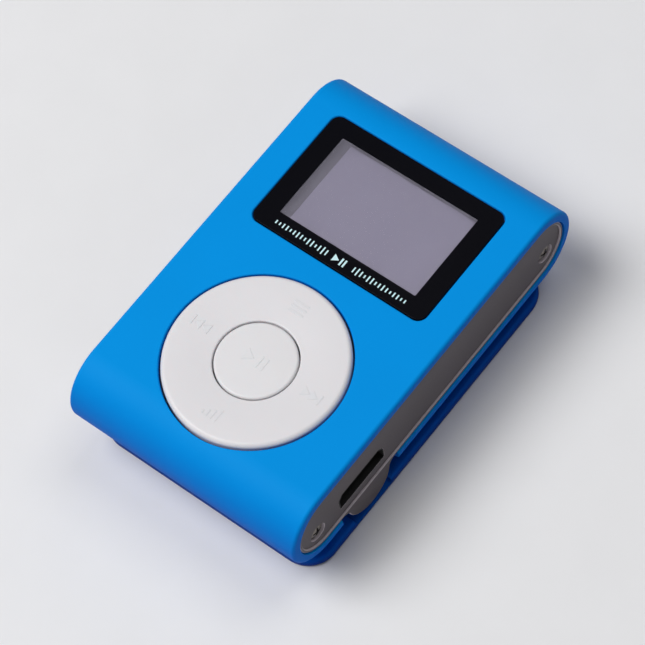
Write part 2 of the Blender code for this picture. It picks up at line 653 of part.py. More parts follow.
def make_chassis():
    """Tray with a solid block at each end, which takes the cap screws."""
    radius = INSIDE_RADIUS - CHASSIS_GAP
    lift = math.degrees(math.asin((CHASSIS_TOP_Z - MID_Z) / radius))
    floor_z = MID_Z - radius + CHASSIS_FLOOR
    outline = arc((-END_CENTRE_Y, MID_Z), radius, 180 - lift, 270, 12)
    outline += arc((END_CENTRE_Y, MID_Z), radius, 270, 360 + lift, 12)
    outline += [(CHASSIS_BLOCK_Y, CHASSIS_TOP_Z), (CHASSIS_BLOCK_Y, floor_z),
                (-CHASSIS_BLOCK_Y, floor_z), (-CHASSIS_BLOCK_Y, CHASSIS_TOP_Z)]
    tray = extruded("chassis_tray", [outline], -CHASSIS_WIDTH / 2, CHASSIS_WIDTH / 2, "X")
    for side in (-1, 1):
        for end in (-1, 1):
            cut(tray, cylinder("tray_screw_hole", SCREW_SHANK_RADIUS + 0.08 * MM, 12.0 * MM,
                               (side * CHASSIS_WIDTH / 2, end * SCREW_Y, SCREW_Z), "X", 16))
    return keep(tray, BLACK_PLASTIC)


def make_battery():
    """Pouch cell on its adhesive pad, with two leads up to the board."""
    floor_z = MID_Z - INSIDE_RADIUS + CHASSIS_GAP + CHASSIS_FLOOR
    tape_z = floor_z + 0.05 * MM + TAPE_SIZE[2] / 2
    keep(box("battery_tape", TAPE_SIZE, (*BATTERY_XY, tape_z)), DIFFUSER_WHITE)
    cell_z = tape_z + TAPE_SIZE[2] / 2 + 0.05 * MM + BATTERY_SIZE[2] / 2
    cell = box("battery", BATTERY_SIZE, (*BATTERY_XY, cell_z))
    keep(round_edges(cell, 0.6 * MM, 3), FOIL_SILVER)
    start_y = BATTERY_XY[1] + BATTERY_SIZE[1] / 2 + 0.15 * MM
    top_z = BOARD_UNDER_Z - 0.1 * MM
    for name, x in LEAD_X.items():
        points = [(x, start_y, cell_z), (x, start_y + 1.2 * MM, cell_z)]
        points += [(x, y, z) for y, z in arc((start_y + 1.2 * MM, cell_z + 1.4 * MM), 1.4 * MM, -80, 0, 5)]
        points.append((x, start_y + 2.6 * MM, top_z))
        keep(wire(name, points, LEAD_RADIUS), LEAD_RED if "red" in name else LEAD_BLACK)


def make_usb_socket():
    """Micro-USB shell on its legs under the board, and the plastic insert with its tongue."""
    sheet = 2 * USB_SHEET
    outer = port_outline(USB_WIDE, USB_NARROW, USB_HEIGHT)
    inner = port_outline(USB_WIDE - sheet, USB_NARROW - sheet, USB_HEIGHT - sheet)
    shell = extruded("usb_shell", [outer, inner], USB_INNER_X, USB_OUTER_X, "X")
    leg_low_z = PORT_Z + USB_HEIGHT / 2 - USB_SHEET / 2
    leg_top_z = BOARD_UNDER_Z - UNDER_BOARD_GAP
    leg = (*USB_LEG, leg_top_z - leg_low_z)
    for side in (-1, 1):
        place = (USB_INNER_X + USB_LEG[0], PORT_Y + side * USB_LEG_Y, (leg_low_z + leg_top_z) / 2)
        join(shell, box("usb_leg", leg, place))
    keep(shell, STEEL)
    slack = sheet + 0.1 * MM
    plug = port_outline(USB_WIDE - slack, USB_NARROW - slack, USB_HEIGHT - slack)
    insert = extruded("usb_insert", [plug], USB_INNER_X, USB_INNER_X + 1.2 * MM, "X")
    tongue = (USB_OUTER_X - USB_INNER_X - 0.6 * MM, TONGUE_WIDTH, TONGUE_THICKNESS)
    join(insert, box("usb_tongue", tongue, (USB_INNER_X + 0.2 * MM + tongue[0] / 2, PORT_Y, PORT_Z + 0.2 * MM)))
    keep(insert, BLACK_PLASTIC)


def make_headphone_jack():
    """Jack body with its bore and the collar that sits in the cap."""
    outer_x = CAP_INNER_X - CAP_GAP
    jack = box("headphone_jack", JACK_SIZE, (-outer_x + JACK_SIZE[0] / 2, JACK_Y, JACK_Z))
    collar_x = -outer_x + 0.15 * MM - JACK_COLLAR_LENGTH / 2
    join(jack, cylinder("jack_collar", JACK_COLLAR, JACK_COLLAR_LENGTH, (collar_x, JACK_Y, JACK_Z), "X", 32))
    cut(jack, cylinder("jack_bore", JACK_BORE, 2 * JACK_SIZE[0] - 4.0 * MM,
                       (-outer_x - 1.0 * MM, JACK_Y, JACK_Z), "X", 28))
    return keep(jack, BLACK_PLASTIC)


def make_card_socket():
    """Memory card socket under the board."""
    middle_z = BOARD_UNDER_Z - UNDER_BOARD_GAP - CARD_SIZE[2] / 2
    outer_x = CAP_INNER_X - CAP_GAP
    socket = box("card_socket", CARD_SIZE, (-outer_x + CARD_SIZE[0] / 2, CARD_Y, middle_z))
    cut(socket, box("card_cavity", (2 * CARD_DEPTH, *CARD_SLOT), (-outer_x, CARD_Y, middle_z)))
    return keep(socket, STEEL)


def make_power_switch():
    """Slide switch body and the knob that comes out through the cap."""
    body_x = -CAP_INNER_X + CAP_GAP + SWITCH_SIZE[0] / 2
    body = box("switch_body", SWITCH_SIZE, (body_x, SWITCH_Y, SWITCH_Z))
    channel = (2.8 * MM, KNOB_STEM[0] + SWITCH_TRAVEL + 0.4 * MM, KNOB_STEM[1] + 0.4 * MM)
    cut(body, box("switch_channel", channel, (-CAP_INNER_X, SWITCH_Y, SWITCH_Z)))
    keep(body, STEEL)
    rest_y = SWITCH_Y - SWITCH_TRAVEL / 2
    tab_inner_x = CAP_INNER_X + 0.15 * MM
    tab_length = KNOB_OUTER_X - tab_inner_x
    knob = box("switch_knob", (tab_length, *KNOB_TAB), (-tab_inner_x - tab_length / 2, rest_y, SWITCH_Z))
    join(knob, box("knob_stem", (2.0 * MM, *KNOB_STEM), (-CAP_INNER_X, rest_y, SWITCH_Z)))
    keep(knob, BLACK_PLASTIC)


def clip_outline():
    """Clip plate in (y, z): a flat plate with round ends and the lip that meets the body."""
    half = CLIP_THICKNESS / 2
    points = arc((CLIP_JAW_END_Y - half, half), half, -90, 90, 8)
    for step in range(9):
        angle = math.pi * step / 8
        points.append((CLIP_LIP_Y + CLIP_LIP_HALF * math.cos(angle),
                       CLIP_THICKNESS + (CLIP_LIP_TOP_Z - CLIP_THICKNESS) * math.sin(angle)))
    points += arc((CLIP_LEVER_END_Y + half, half), half, 90, 270, 8)
    return points


def make_clip_plate():
    """Sprung clip: a flat plate with pivot lugs, rocking on the hinge pin."""
    clip = extruded("clip_plate", [clip_outline()], -CLIP_WIDTH, CLIP_WIDTH, "X")
    length = CLIP_JAW_END_Y - CLIP_LEVER_END_Y + 0.1 * MM
    plan_centre = (0.0, (CLIP_JAW_END_Y + CLIP_LEVER_END_Y) / 2)
    plan = rounded_rectangle(CLIP_WIDTH, length, CLIP_CORNER, plan_centre, 8)
    combine(clip, extruded("clip_plan", [plan], -CLIP_THICKNESS, BACK_Z), "INTERSECT")
    pocket_x = CAP_INNER_X - 0.3 * MM
    for side in (-1, 1):
        lug_length = LUG_OUTER_X - LUG_INNER_X
        middle_x = side * (LUG_OUTER_X + LUG_INNER_X) / 2
        join(clip, cylinder("clip_lug", LUG_RADIUS, lug_length, (middle_x, HINGE_Y, HINGE_Z), "X", 24))
        web = (lug_length, LUG_WEB, HINGE_Z - CLIP_THICKNESS / 2)
        join(clip, box("clip_lug_web", web, (middle_x, HINGE_Y, (HINGE_Z + CLIP_THICKNESS / 2) / 2)))
        pocket = (2 * (CLIP_WIDTH / 2 - pocket_x), 2 * EAR_POCKET_HALF, 2 * CLIP_THICKNESS)
        cut(clip, box("clip_ear_pocket", pocket,
                      (side * CLIP_WIDTH / 2, HINGE_Y, EAR_POCKET_FLOOR_Z + CLIP_THICKNESS)))
    cut(clip, cylinder("clip_pin_bore", LUG_BORE, 2 * CLIP_WIDTH, (0.0, HINGE_Y, HINGE_Z), "X", 20))
    trough_z = CLIP_THICKNESS * 1.5 - COIL_TROUGH_DEPTH
    cut(clip, box("clip_coil_trough", (*COIL_TROUGH, CLIP_THICKNESS), (0.0, HINGE_Y, trough_z)))
    set_origin(clip, (0.0, HINGE_Y, HINGE_Z))
    return keep(clip, BLUE_METAL)


def set_origin(obj, place):
    """Move a piece's origin to a world place without moving its shape."""
    bpy.context.view_layer.update()
    shift = obj.matrix_world.copy()
    obj.matrix_world = ((1, 0, 0, place[0]), (0, 1, 0, place[1]), (0, 0, 1, place[2]), (0, 0, 0, 1))
    bpy.context.view_layer.update()
    obj.data.transform(obj.matrix_world.inverted() @ shift)


def make_hinge_pin():
    """Steel pin held in the two caps' ears."""
    pin = cylinder("hinge_pin", PIN_RADIUS, PIN_LENGTH, (0.0, HINGE_Y, HINGE_Z), "X", 20)
    return keep(pin, STEEL)


def make_torsion_spring():
    """Coil round the pin, with one leg on the body and one on the clip's lever."""
    points = [(-COIL_WIDTH / 2, HINGE_Y - SPRING_LEG, HINGE_Z + COIL_RADIUS)]
    per_turn = 12
    count = COIL_TURNS * per_turn + per_turn // 2
    for step in range(count + 1):
        angle = math.pi / 2 - 2 * math.pi * step / per_turn
        x = -COIL_WIDTH / 2 + COIL_WIDTH * step / count
        points.append((x, HINGE_Y + COIL_RADIUS * math.cos(angle), HINGE_Z + COIL_RADIUS * math.sin(angle)))
    points.append((COIL_WIDTH / 2, HINGE_Y - SPRING_LEG, HINGE_Z - COIL_RADIUS))
    return keep(wire("torsion_spring", points, SPRING_WIRE), STEEL)


def build():
    """Make every piece."""
    make_outer_shell()
    make_right_end_cap()
    make_left_end_cap()
    make_cap_screws()
    make_screen_lens()
    make_lens_mask()
    make_display_stack()
    make_control_ring()
    make_ring_pivot()
    make_center_button()
    make_snap_domes()
    make_main_board()
    make_chassis()
    make_battery()
    make_usb_socket()
    make_headphone_jack()
    make_card_socket()
    make_power_switch()
    make_clip_plate()
    make_hinge_pin()
    make_torsion_spring()


clear_scene()
PART = collection("digital_audio_player")
CUTTERS = collection("cutters", hidden=True)
build()
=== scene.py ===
"""Finished look of the clip-on digital audio player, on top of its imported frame.

Metres, +Z out of the player's face, +Y from the control ring towards the display,
+X towards the USB side.  The player lies on its clip on a pale floor at Z = 0.
"""
import math

import bmesh
import bpy
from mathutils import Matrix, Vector


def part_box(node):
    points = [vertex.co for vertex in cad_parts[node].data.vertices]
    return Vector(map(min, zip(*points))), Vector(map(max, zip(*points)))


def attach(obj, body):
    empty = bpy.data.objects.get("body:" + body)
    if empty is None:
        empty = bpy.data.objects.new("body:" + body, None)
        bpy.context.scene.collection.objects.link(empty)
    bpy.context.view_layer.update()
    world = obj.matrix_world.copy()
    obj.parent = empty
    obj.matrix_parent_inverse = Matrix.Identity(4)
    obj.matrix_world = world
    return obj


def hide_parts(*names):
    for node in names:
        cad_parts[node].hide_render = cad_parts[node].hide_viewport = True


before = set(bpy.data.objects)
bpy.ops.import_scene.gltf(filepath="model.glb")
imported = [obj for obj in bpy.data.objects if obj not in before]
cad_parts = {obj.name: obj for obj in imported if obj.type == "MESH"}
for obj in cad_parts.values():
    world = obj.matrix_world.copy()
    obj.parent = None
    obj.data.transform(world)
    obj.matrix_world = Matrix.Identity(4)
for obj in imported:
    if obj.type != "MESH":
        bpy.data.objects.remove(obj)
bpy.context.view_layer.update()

MM = 0.001

# Meshes: how far a cutting tool reaches past the solid, and the angles in degrees above which
# an edge stays sharp on most pieces and on the flat window.
PAST = 1.0 * MM
SHARP_ANGLE = 32
FLAT_ANGLE = 12

# Camera: place in millimetres, turn in degrees, lens for a 36 mm sensor.
CAMERA_PLACE_MM = (130.5, -111.4, 318.0)
CAMERA_TURN = (28.24, 6.38, 37.87)
CAMERA_LENS_MM = 178.8

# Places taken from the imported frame.
SHELL_LOW, SHELL_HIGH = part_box("outer_shell")
RING_LOW, RING_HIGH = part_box("control_ring")
BUTTON_LOW, BUTTON_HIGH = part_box("center_button")
LENS_LOW, LENS_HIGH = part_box("screen_lens")
LCD_LOW, LCD_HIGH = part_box("lcd_panel")
CAP_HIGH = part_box("right_end_cap")[1]
USB_LOW, USB_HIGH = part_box("usb_shell")
JACK_LOW, JACK_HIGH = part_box("headphone_jack")
KNOB_LOW, KNOB_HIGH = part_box("switch_knob")
CLIP_LOW, CLIP_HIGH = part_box("clip_plate")
PIN_LOW, PIN_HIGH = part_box("hinge_pin")
SCREW_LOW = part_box("cap_screw_right_top")[0]

# Sleeve.
HALF_WIDTH = SHELL_HIGH.x
FACE_Z = SHELL_HIGH.z
BACK_Z = SHELL_LOW.z
MID_Z = (FACE_Z + BACK_Z) / 2
END_RADIUS = (FACE_Z - BACK_Z) / 2
END_CENTRE_Y = SHELL_HIGH.y - END_RADIUS
SLEEVE_WALL = 1.15 * MM
SLEEVE_EDGE_ROUND = 0.42 * MM
INSIDE_RADIUS = END_RADIUS - SLEEVE_WALL
LENS_GAP = 0.10 * MM
OPENING_ROUND = 0.22 * MM
INNER_CHAMFER = 0.03 * MM
NOTCH_GAP = 0.25 * MM
NOTCH_CORNER = 0.5 * MM

# Ring and button.
RING_Y = (RING_LOW.y + RING_HIGH.y) / 2
RING_RADIUS = 10.47 * MM
RING_BORE = 4.82 * MM
RING_GAP = 0.21 * MM
RING_FLANGE_RADIUS = RING_HIGH.x
RING_FLANGE_TOP_Z = FACE_Z - 2.25 * MM
RING_UNDER_Z = FACE_Z - 2.6 * MM
RING_EDGE_ROUND = 0.55 * MM
RING_BORE_ROUND = 0.16 * MM
RING_DISH_EDGE = 1.2 * MM
RING_DISH = 0.24 * MM
BUTTON_RADIUS = 4.67 * MM
BUTTON_EDGE_ROUND = 0.30 * MM
BUTTON_CROWN = 0.06 * MM
BUTTON_FLANGE_TOP_Z = FACE_Z - 2.9 * MM
MARK_HEIGHT = 0.035 * MM
MARK_ROOT = 0.15 * MM
MARK_TAPER = 0.03 * MM
MARK_SHOULDER = 0.4
MARK_CIRCLE = 7.6 * MM

# Flat shapes of the marks and the print, in millimetres.
MARK_STROKE = 0.26
MARK_SIZE = 1.3
MENU_WIDTH = 2.0
MENU_STEP = 0.62
VOLUME_BARS = ((-0.9, 0.5), (-0.3, 0.85), (0.3, 1.2), (0.9, 1.6))
PLAY_STROKE = 0.30
PLAY_SIZE = 1.6
PRINT_STROKE = 0.22
PRINT_SIZE = 0.95
WAVE_BARS = 15
WAVE_STROKE = 0.17
WAVE_START = 1.9
WAVE_STEP = 0.5

# Display.
LENS_CORNER = 1.1 * MM
LENS_EDGE_ROUND = 0.05 * MM
FRAME_DEPTH = 0.08 * MM
FRAME_WRAP = 0.35 * MM
FRAME_GAP = 0.005 * MM
VIEW_CORNER = 0.12 * MM
VIEW_HALF = (9.39 * MM, 5.72 * MM)
VIEW_Y = 11.23 * MM
POLARIZER_INSET_LEFT = 1.08 * MM
POLARIZER_INSET = 0.2 * MM
POLARIZER_CORNER = 0.15 * MM
POLARIZER_EDGE_ROUND = 0.06 * MM
POLARIZER_STEP = 0.15 * MM
POLARIZER_ROOT = 0.01 * MM
DISPLAY_GAP = 0.05 * MM
DISPLAY_CORNER = 0.2 * MM
DISPLAY_EDGE_ROUND = 0.05 * MM
PRINT_Y = 4.30 * MM
PRINT_THICKNESS = 0.02 * MM

# End caps.
CAP_INNER_X = 14.1 * MM
CAP_OUTER_X = CAP_HIGH.x
CAP_GAP = 0.1 * MM
CAP_RIM = 0.4 * MM
CAP_PANEL_DEPTH = 0.25 * MM
CAP_EDGE_ROUND = 0.20 * MM
PANEL_EDGE_ROUND = 0.16 * MM
SCREW_Y = 20.65 * MM
SCREW_Z = FACE_Z - 7.05 * MM
SCREW_HEAD_RADIUS = 1.05 * MM
SCREW_HEAD_HEIGHT = 0.5 * MM
SCREW_POCKET = 0.65 * MM
SCREW_LENGTH = 5.0 * MM
SCREW_SHAFT = 0.5 * MM
SCREW_BORE = 0.6 * MM
# Share of the head's radius and drop in millimetres, then the cross recess, also in millimetres.
SCREW_CROWN = ((0.45, 0.02), (0.8, 0.12), (0.96, 0.24), (1.0, 0.36))
CROSS_LONG = 1.3
CROSS_NARROW = 0.26
CROSS_DEPTH = 0.3 * MM
POCKET_EDGE_ROUND = 0.10 * MM
PIN_SOCKET = 0.55 * MM
PORT_Y = -12.93 * MM
PORT_Z = FACE_Z - 6.7 * MM
PORT_WIDE = 7.85 * MM
PORT_NARROW = 6.55 * MM
PORT_HEIGHT = 2.60 * MM
PORT_CORNER = 0.28 * MM
PORT_SHOULDER = 0.1 * MM
PORT_EDGE_ROUND = 0.05 * MM
# Gap and wall of the near-black sheet of painted shade in the port's mouth.
SHADE_LINING_GAP = 0.01 * MM
SHADE_LINING_WALL = 0.14 * MM

# Micro-USB receptacle: outlines as wide side, narrow side and height.
USB_OUTER = (7.5 * MM, 6.3 * MM, 2.45 * MM)
USB_INNER = (6.94 * MM, 5.74 * MM, 1.89 * MM)
USB_PLUG = (6.8 * MM, 5.6 * MM, 1.75 * MM)
USB_CORNER = 0.2 * MM
USB_LEG_WIDTH = 0.3 * MM
USB_LEG_Y = 2.4 * MM
USB_LEG_ROOT = 1.1 * MM
USB_LEG_X = (0.6 * MM, 1.8 * MM)
TONGUE_SIZE = (4.6 * MM, 0.55 * MM)
TONGUE_RISE = 0.2 * MM
CONTACT_SIZE = (0.28 * MM, 0.08 * MM)
CONTACT_STEP = 0.65 * MM

# Left side.
JACK_Y = 14.0 * MM
JACK_Z = FACE_Z - 6.75 * MM
JACK_BORE = 1.77 * MM
JACK_COLLAR = 2.4 * MM
JACK_DEPTH = 9 * MM
JACK_EDGE_ROUND = 0.15 * MM
JACK_SLEEVE = (3 * MM, 0.35 * MM)
JACK_SLEEVE_WALL = 0.11 * MM
CARD_Y = 2.5 * MM
CARD_Z = BACK_Z + 5.375 * MM
CARD_SLOT = (11.4 * MM, 1.15 * MM)
SWITCH_Y = -10.5 * MM
SWITCH_Z = FACE_Z - 6.1 * MM
SWITCH_SLOT = (4.8 * MM, 1.7 * MM)
SLOT_CORNER = 0.3 * MM
SLOT_EDGE_ROUND = 0.12 * MM
KNOB_STEM = (1.4 * MM, 0.8 * MM)
KNOB_GROOVE = (0.22 * MM, 2.0 * MM)
KNOB_GROOVE_STEP = 0.6 * MM

# Clip and hinge ears.
HINGE_Y = (PIN_LOW.y + PIN_HIGH.y) / 2
HINGE_Z = (PIN_LOW.z + PIN_HIGH.z) / 2
EAR_RADIUS = 3.6 * MM
EAR_BOTTOM_Z = 1.0 * MM
EAR_FILLET = 1.2 * MM
CLIP_THICKNESS = 1.3 * MM
CLIP_CORNER = 3.6 * MM
CLIP_EDGE_ROUND = 0.42 * MM
LUG_RADIUS = 1.0 * MM
LUG_WEB = 1.9 * MM
LUG_INNER_X = 6.5 * MM
LUG_OUTER_X = 13.5 * MM
LUG_BORE = 0.6 * MM
EAR_POCKET = (6.4 * MM, 2.6 * MM)
EAR_POCKET_FLOOR = 0.65 * MM
COIL_TROUGH = (12.0 * MM, 3.0 * MM)
COIL_TROUGH_DEPTH = 0.45 * MM
LEG_GROOVE = (0.7 * MM, 5.4 * MM)
LEG_GROOVE_X = 2.5 * MM
LEG_GROOVE_FLOOR = 0.3 * MM
LIP_Y = 17.6 * MM
LIP_RADIUS = 1.1 * MM
LIP_ROOT = 0.9 * MM
LIP_INSET = 1.2 * MM
GRIP_COUNT = 4
GRIP_START = 2.0 * MM
GRIP_STEP = 0.95 * MM
GRIP_RADIUS = 0.45 * MM
GRIP_DROP = 0.28 * MM
GRIP_HALF = 9 * MM


# Outlines.

def arc(centre, radius, start, end, steps):
    """Points along an arc, both ends included, with angles in degrees."""
    points = []
    for step in range(steps + 1):
        angle = math.radians(start + (end - start) * step / steps)
        points.append((centre[0] + radius * math.cos(angle), centre[1] + radius * math.sin(angle)))
    return points


def circle(centre, radius, steps):
    """Counterclockwise circle without a repeated point."""
    return arc(centre, radius, 0, 360, steps)[:-1]


def rounded_rectangle(width, height, radius, centre=(0.0, 0.0), steps=8):
    """Counterclockwise rectangle with round corners."""
    across = width / 2 - radius
    along = height / 2 - radius
    corners = ((across, along, 0), (-across, along, 90), (-across, -along, 180), (across, -along, 270))
    points = []
    for u, v, start in corners:
        points += arc((centre[0] + u, centre[1] + v), radius, start, start + 90, steps)
    return points


def stadium(length, thickness, centre=(0.0, 0.0), steps=24):
    """Outline with full-round ends; a hair less than half keeps its points apart."""
    return rounded_rectangle(length, thickness, thickness * 0.4999, centre, steps)


def shifted(outline, distance):
    """Move a counterclockwise outline outwards along its own normals."""
    count = len(outline)
    moved = []
    for index, (u, v) in enumerate(outline):
        before = outline[index - 1]
        after = outline[(index + 1) % count]
        first = Vector((v - before[1], before[0] - u)).normalized()
        second = Vector((after[1] - v, u - after[0])).normalized()
        middle = (first + second).normalized()
        reach = distance / max(middle.dot(first), 0.5)
        moved.append((u + middle.x * reach, v + middle.y * reach))
    return moved


# Meshes.

def face_up(u, v, w):
    """Outline in X and Y, height along Z."""
    return (u, v, w)


def face_right(u, v, w):
    """Outline in Y and Z, height along +X."""
    return (w, u, v)


def face_left(u, v, w):
    """Outline in Y and Z, height along -X."""
    return (-w, u, v)


def mesh_object(name, shape):
    """Turn a bmesh into a linked object."""
    mesh = bpy.data.meshes.new(name)
    bmesh.ops.remove_doubles(shape, verts=shape.verts, dist=1e-8)
    bmesh.ops.dissolve_degenerate(shape, edges=shape.edges, dist=1e-9)
    bmesh.ops.recalc_face_normals(shape, faces=shape.faces)
    shape.to_mesh(mesh)
    shape.free()
    made = bpy.data.objects.new(name, mesh)
    bpy.context.scene.collection.objects.link(made)
    return made


def skin(name, rings, wrap_rings=True, wrap_ends=False, caps=False):
    """Join rings of points with quads; wrap each ring, wrap the last to the first, or cap both ends."""
    shape = bmesh.new()
    rows = [[shape.verts.new(point) for point in ring] for ring in rings]
    across = len(rows[0])
    pairs = [(i, i + 1) for i in range(len(rows) - 1)]
    if wrap_ends:
        pairs.append((len(rows) - 1, 0))
    for first, second in pairs:
        for i in range(across if wrap_rings else across - 1):
            j = (i + 1) % across
            shape.faces.new((rows[first][i], rows[first][j], rows[second][j], rows[second][i]))
    if caps:
        shape.faces.new(rows[0][::-1])
        shape.faces.new(rows[-1])
    return mesh_object(name, shape)


def turned(name, profile, centre, steps=128, closed=False, place=face_up):
    """Turn a (radius, height) profile about an axis through the centre."""
    rings = []
    for step in range(steps):
        angle = 2 * math.pi * step / steps
        u, v = math.cos(angle), math.sin(angle)
        rings.append([place(centre[0] + radius * u, centre[1] + radius * v, height)
                      for radius, height in profile])
    return skin(name, rings, wrap_rings=closed, wrap_ends=True)


def prism(name, outline, low, high, low_round=0.0, high_round=0.0, place=face_up, steps=5):
    """Extrude an outline between two heights, with rounded lower and upper edges."""
    levels = []
    if low_round:
        for step in range(steps + 1):
            angle = math.pi / 2 * step / steps
            levels.append((low_round * (math.sin(angle) - 1), low + low_round * (1 - math.cos(angle))))
    else:
        levels.append((0.0, low))
    if high_round:
        for step in range(steps + 1):
            angle = math.pi / 2 * step / steps
            levels.append((high_round * (math.cos(angle) - 1), high - high_round * (1 - math.sin(angle))))
    else:
        levels.append((0.0, high))
    rings = [[place(u, v, height) for u, v in shifted(outline, shift)] for shift, height in levels]
    return skin(name, rings, caps=True)


def opening_tool(name, outline, bottom, surface, round_width, place=face_up, steps=6):
    """Cutter for a hole whose upper edge comes out rounded on a surface given as height(u, v)."""
    rings = [[place(u, v, bottom) for u, v in outline]]
    for step in range(steps + 1):
        angle = math.pi / 2 * step / steps
        shift = round_width * (1 - math.cos(angle))
        drop = round_width * (1 - math.sin(angle))
        rings.append([place(u, v, surface(u, v) - drop) for u, v in shifted(outline, shift)])
    flare = shifted(outline, round_width * 1.02)
    rings.append([place(u, v, surface(u, v) + PAST) for u, v in flare])
    return skin(name, rings, caps=True)


def carve(target, tool, operation="DIFFERENCE"):
    """Apply an exact Boolean and delete its tool."""
    boolean = target.modifiers.new("carve", "BOOLEAN")
    boolean.operation = operation
    boolean.solver = "EXACT"
    boolean.object = tool
    bpy.context.view_layer.update()
    evaluated = target.evaluated_get(bpy.context.evaluated_depsgraph_get())
    mesh = bpy.data.meshes.new_from_object(evaluated)
    target.modifiers.clear()
    old = target.data
    target.data = mesh
    mesh.name = target.name
    bpy.data.meshes.remove(old)
    bpy.data.objects.remove(tool, do_unlink=True)
    return target


def merged(name, parts):
    """Put several closed meshes into one object."""
    shape = bmesh.new()
    for part in parts:
        shape.from_mesh(part.data)
        bpy.data.objects.remove(part, do_unlink=True)
    return mesh_object(name, shape)


def finished(piece, body, material, nodes=(), sharp_angle=SHARP_ANGLE):
    """Smooth a piece, give it its material, tie it to its body and hide the CAD nodes it stands in for."""
    shape = bmesh.new()
    shape.from_mesh(piece.data)
    bmesh.ops.remove_doubles(shape, verts=shape.verts, dist=2e-7)
    limit = math.radians(sharp_angle)
    for face in shape.faces:
        face.smooth = True
    for edge in shape.edges:
        edge.smooth = len(edge.link_faces) == 2 and edge.calc_face_angle(0.0) < limit
    shape.to_mesh(piece.data)
    shape.free()
    normals = piece.modifiers.new("even_normals", "WEIGHTED_NORMAL")
    normals.keep_sharp = True
    piece.data.materials.clear()
    piece.data.materials.append(material)
    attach(piece, body)
    if nodes:
        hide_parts(*nodes)
    return piece


# Materials.

class Nodes:
    """Short way to add and join the nodes of one material."""

    def __init__(self, name):
        self.material = bpy.data.materials.new(name)
        self.material.use_nodes = True
        self.tree = self.material.node_tree
        self.shader = self.tree.nodes["Principled BSDF"]
        self.place = self.add("ShaderNodeTexCoord").outputs["Object"]

    def add(self, kind):
        return self.tree.nodes.new(kind)

    def join(self, source, target):
        self.tree.links.new(source, target)

    def set(self, **values):
        for name, value in values.items():
            self.shader.inputs[name.replace("_", " ")].default_value = value

    def noise(self, per_metre, detail=3.0, stretch=(1.0, 1.0, 1.0)):
        """Noise from 0 to 1 with that many cells in a metre."""
        mapping = self.add("ShaderNodeMapping")
        mapping.inputs["Scale"].default_value = stretch
        self.join(self.place, mapping.inputs["Vector"])
        noise = self.add("ShaderNodeTexNoise")
        noise.inputs["Scale"].default_value = per_metre
        noise.inputs["Detail"].default_value = detail
        self.join(mapping.outputs["Vector"], noise.inputs["Vector"])
        return noise.outputs["Fac"]

    def ranged(self, value, low, high, source_low=0.0, source_high=1.0):
        """Map a value between two ranges."""
        node = self.add("ShaderNodeMapRange")
        node.inputs["From Min"].default_value = source_low
        node.inputs["From Max"].default_value = source_high
        node.inputs["To Min"].default_value = low
        node.inputs["To Max"].default_value = high
        self.join(value, node.inputs["Value"])
        return node.outputs["Result"]

    def ramp(self, value, stops):
        """Colour ramp through (position, colour) stops."""
        node = self.add("ShaderNodeValToRGB")
        ramp = node.color_ramp
        while len(ramp.elements) < len(stops):
            ramp.elements.new(0.5)
        for element, (position, colour) in zip(ramp.elements, stops):
            element.position = position
            element.color = (*colour, 1.0)
        self.join(value, node.inputs["Fac"])
        return node.outputs["Color"]

    def mixed(self, share, first, second, blend="MIX"):
        """Mix two colours; each is a socket or a colour."""
        node = self.add("ShaderNodeMix")
        node.data_type = "RGBA"
        node.blend_type = blend
        for socket, value in ((node.inputs[0], share), (node.inputs[6], first), (node.inputs[7], second)):
            if isinstance(value, bpy.types.NodeSocket):
                self.join(value, socket)
            elif isinstance(value, tuple):
                socket.default_value = (*value, 1.0)
            else:
                socket.default_value = value
        return node.outputs[2]

    def normal_part(self, axis):
        """One part of the surface normal."""
        split = self.add("ShaderNodeSeparateXYZ")
        self.join(self.add("ShaderNodeNewGeometry").outputs["Normal"], split.inputs["Vector"])
        return split.outputs[axis]

    def bump(self, value, depth):
        """Bump the surface by a value, to a depth in metres."""
        node = self.add("ShaderNodeBump")
        node.inputs["Strength"].default_value = 1.0
        node.inputs["Distance"].default_value = depth
        self.join(value, node.inputs["Height"])
        self.join(node.outputs["Normal"], self.shader.inputs["Normal"])

    def grained(self, per_metre, smooth, rough, depth, stretch=(1.0, 1.0, 1.0)):
        """Fine grain that drives the roughness between two values and the bump."""
        grain = self.noise(per_metre, 2.0, stretch)
        self.join(self.ranged(grain, smooth, rough), self.shader.inputs["Roughness"])
        self.bump(grain, depth)


def tinted(colour, factor):
    """Darken or lighten a colour."""
    return tuple(min(channel * factor, 1.0) for channel in colour)


def moulded(name, colour, roughness, grain_per_metre, grain_depth, spread=0.06, metallic=0.0,
            stretch=(1.0, 1.0, 1.0)):
    """General surface: slightly uneven colour and roughness with a fine grain."""
    nodes = Nodes(name)
    cloud = nodes.noise(120.0, 4.0, stretch)
    colours = nodes.ramp(cloud, ((0.3, tinted(colour, 1 - spread)), (0.7, tinted(colour, 1 + spread))))
    nodes.join(colours, nodes.shader.inputs["Base Color"])
    nodes.grained(grain_per_metre, roughness * 0.88, roughness * 1.12, grain_depth, stretch)
    nodes.set(Metallic=metallic)
    return nodes


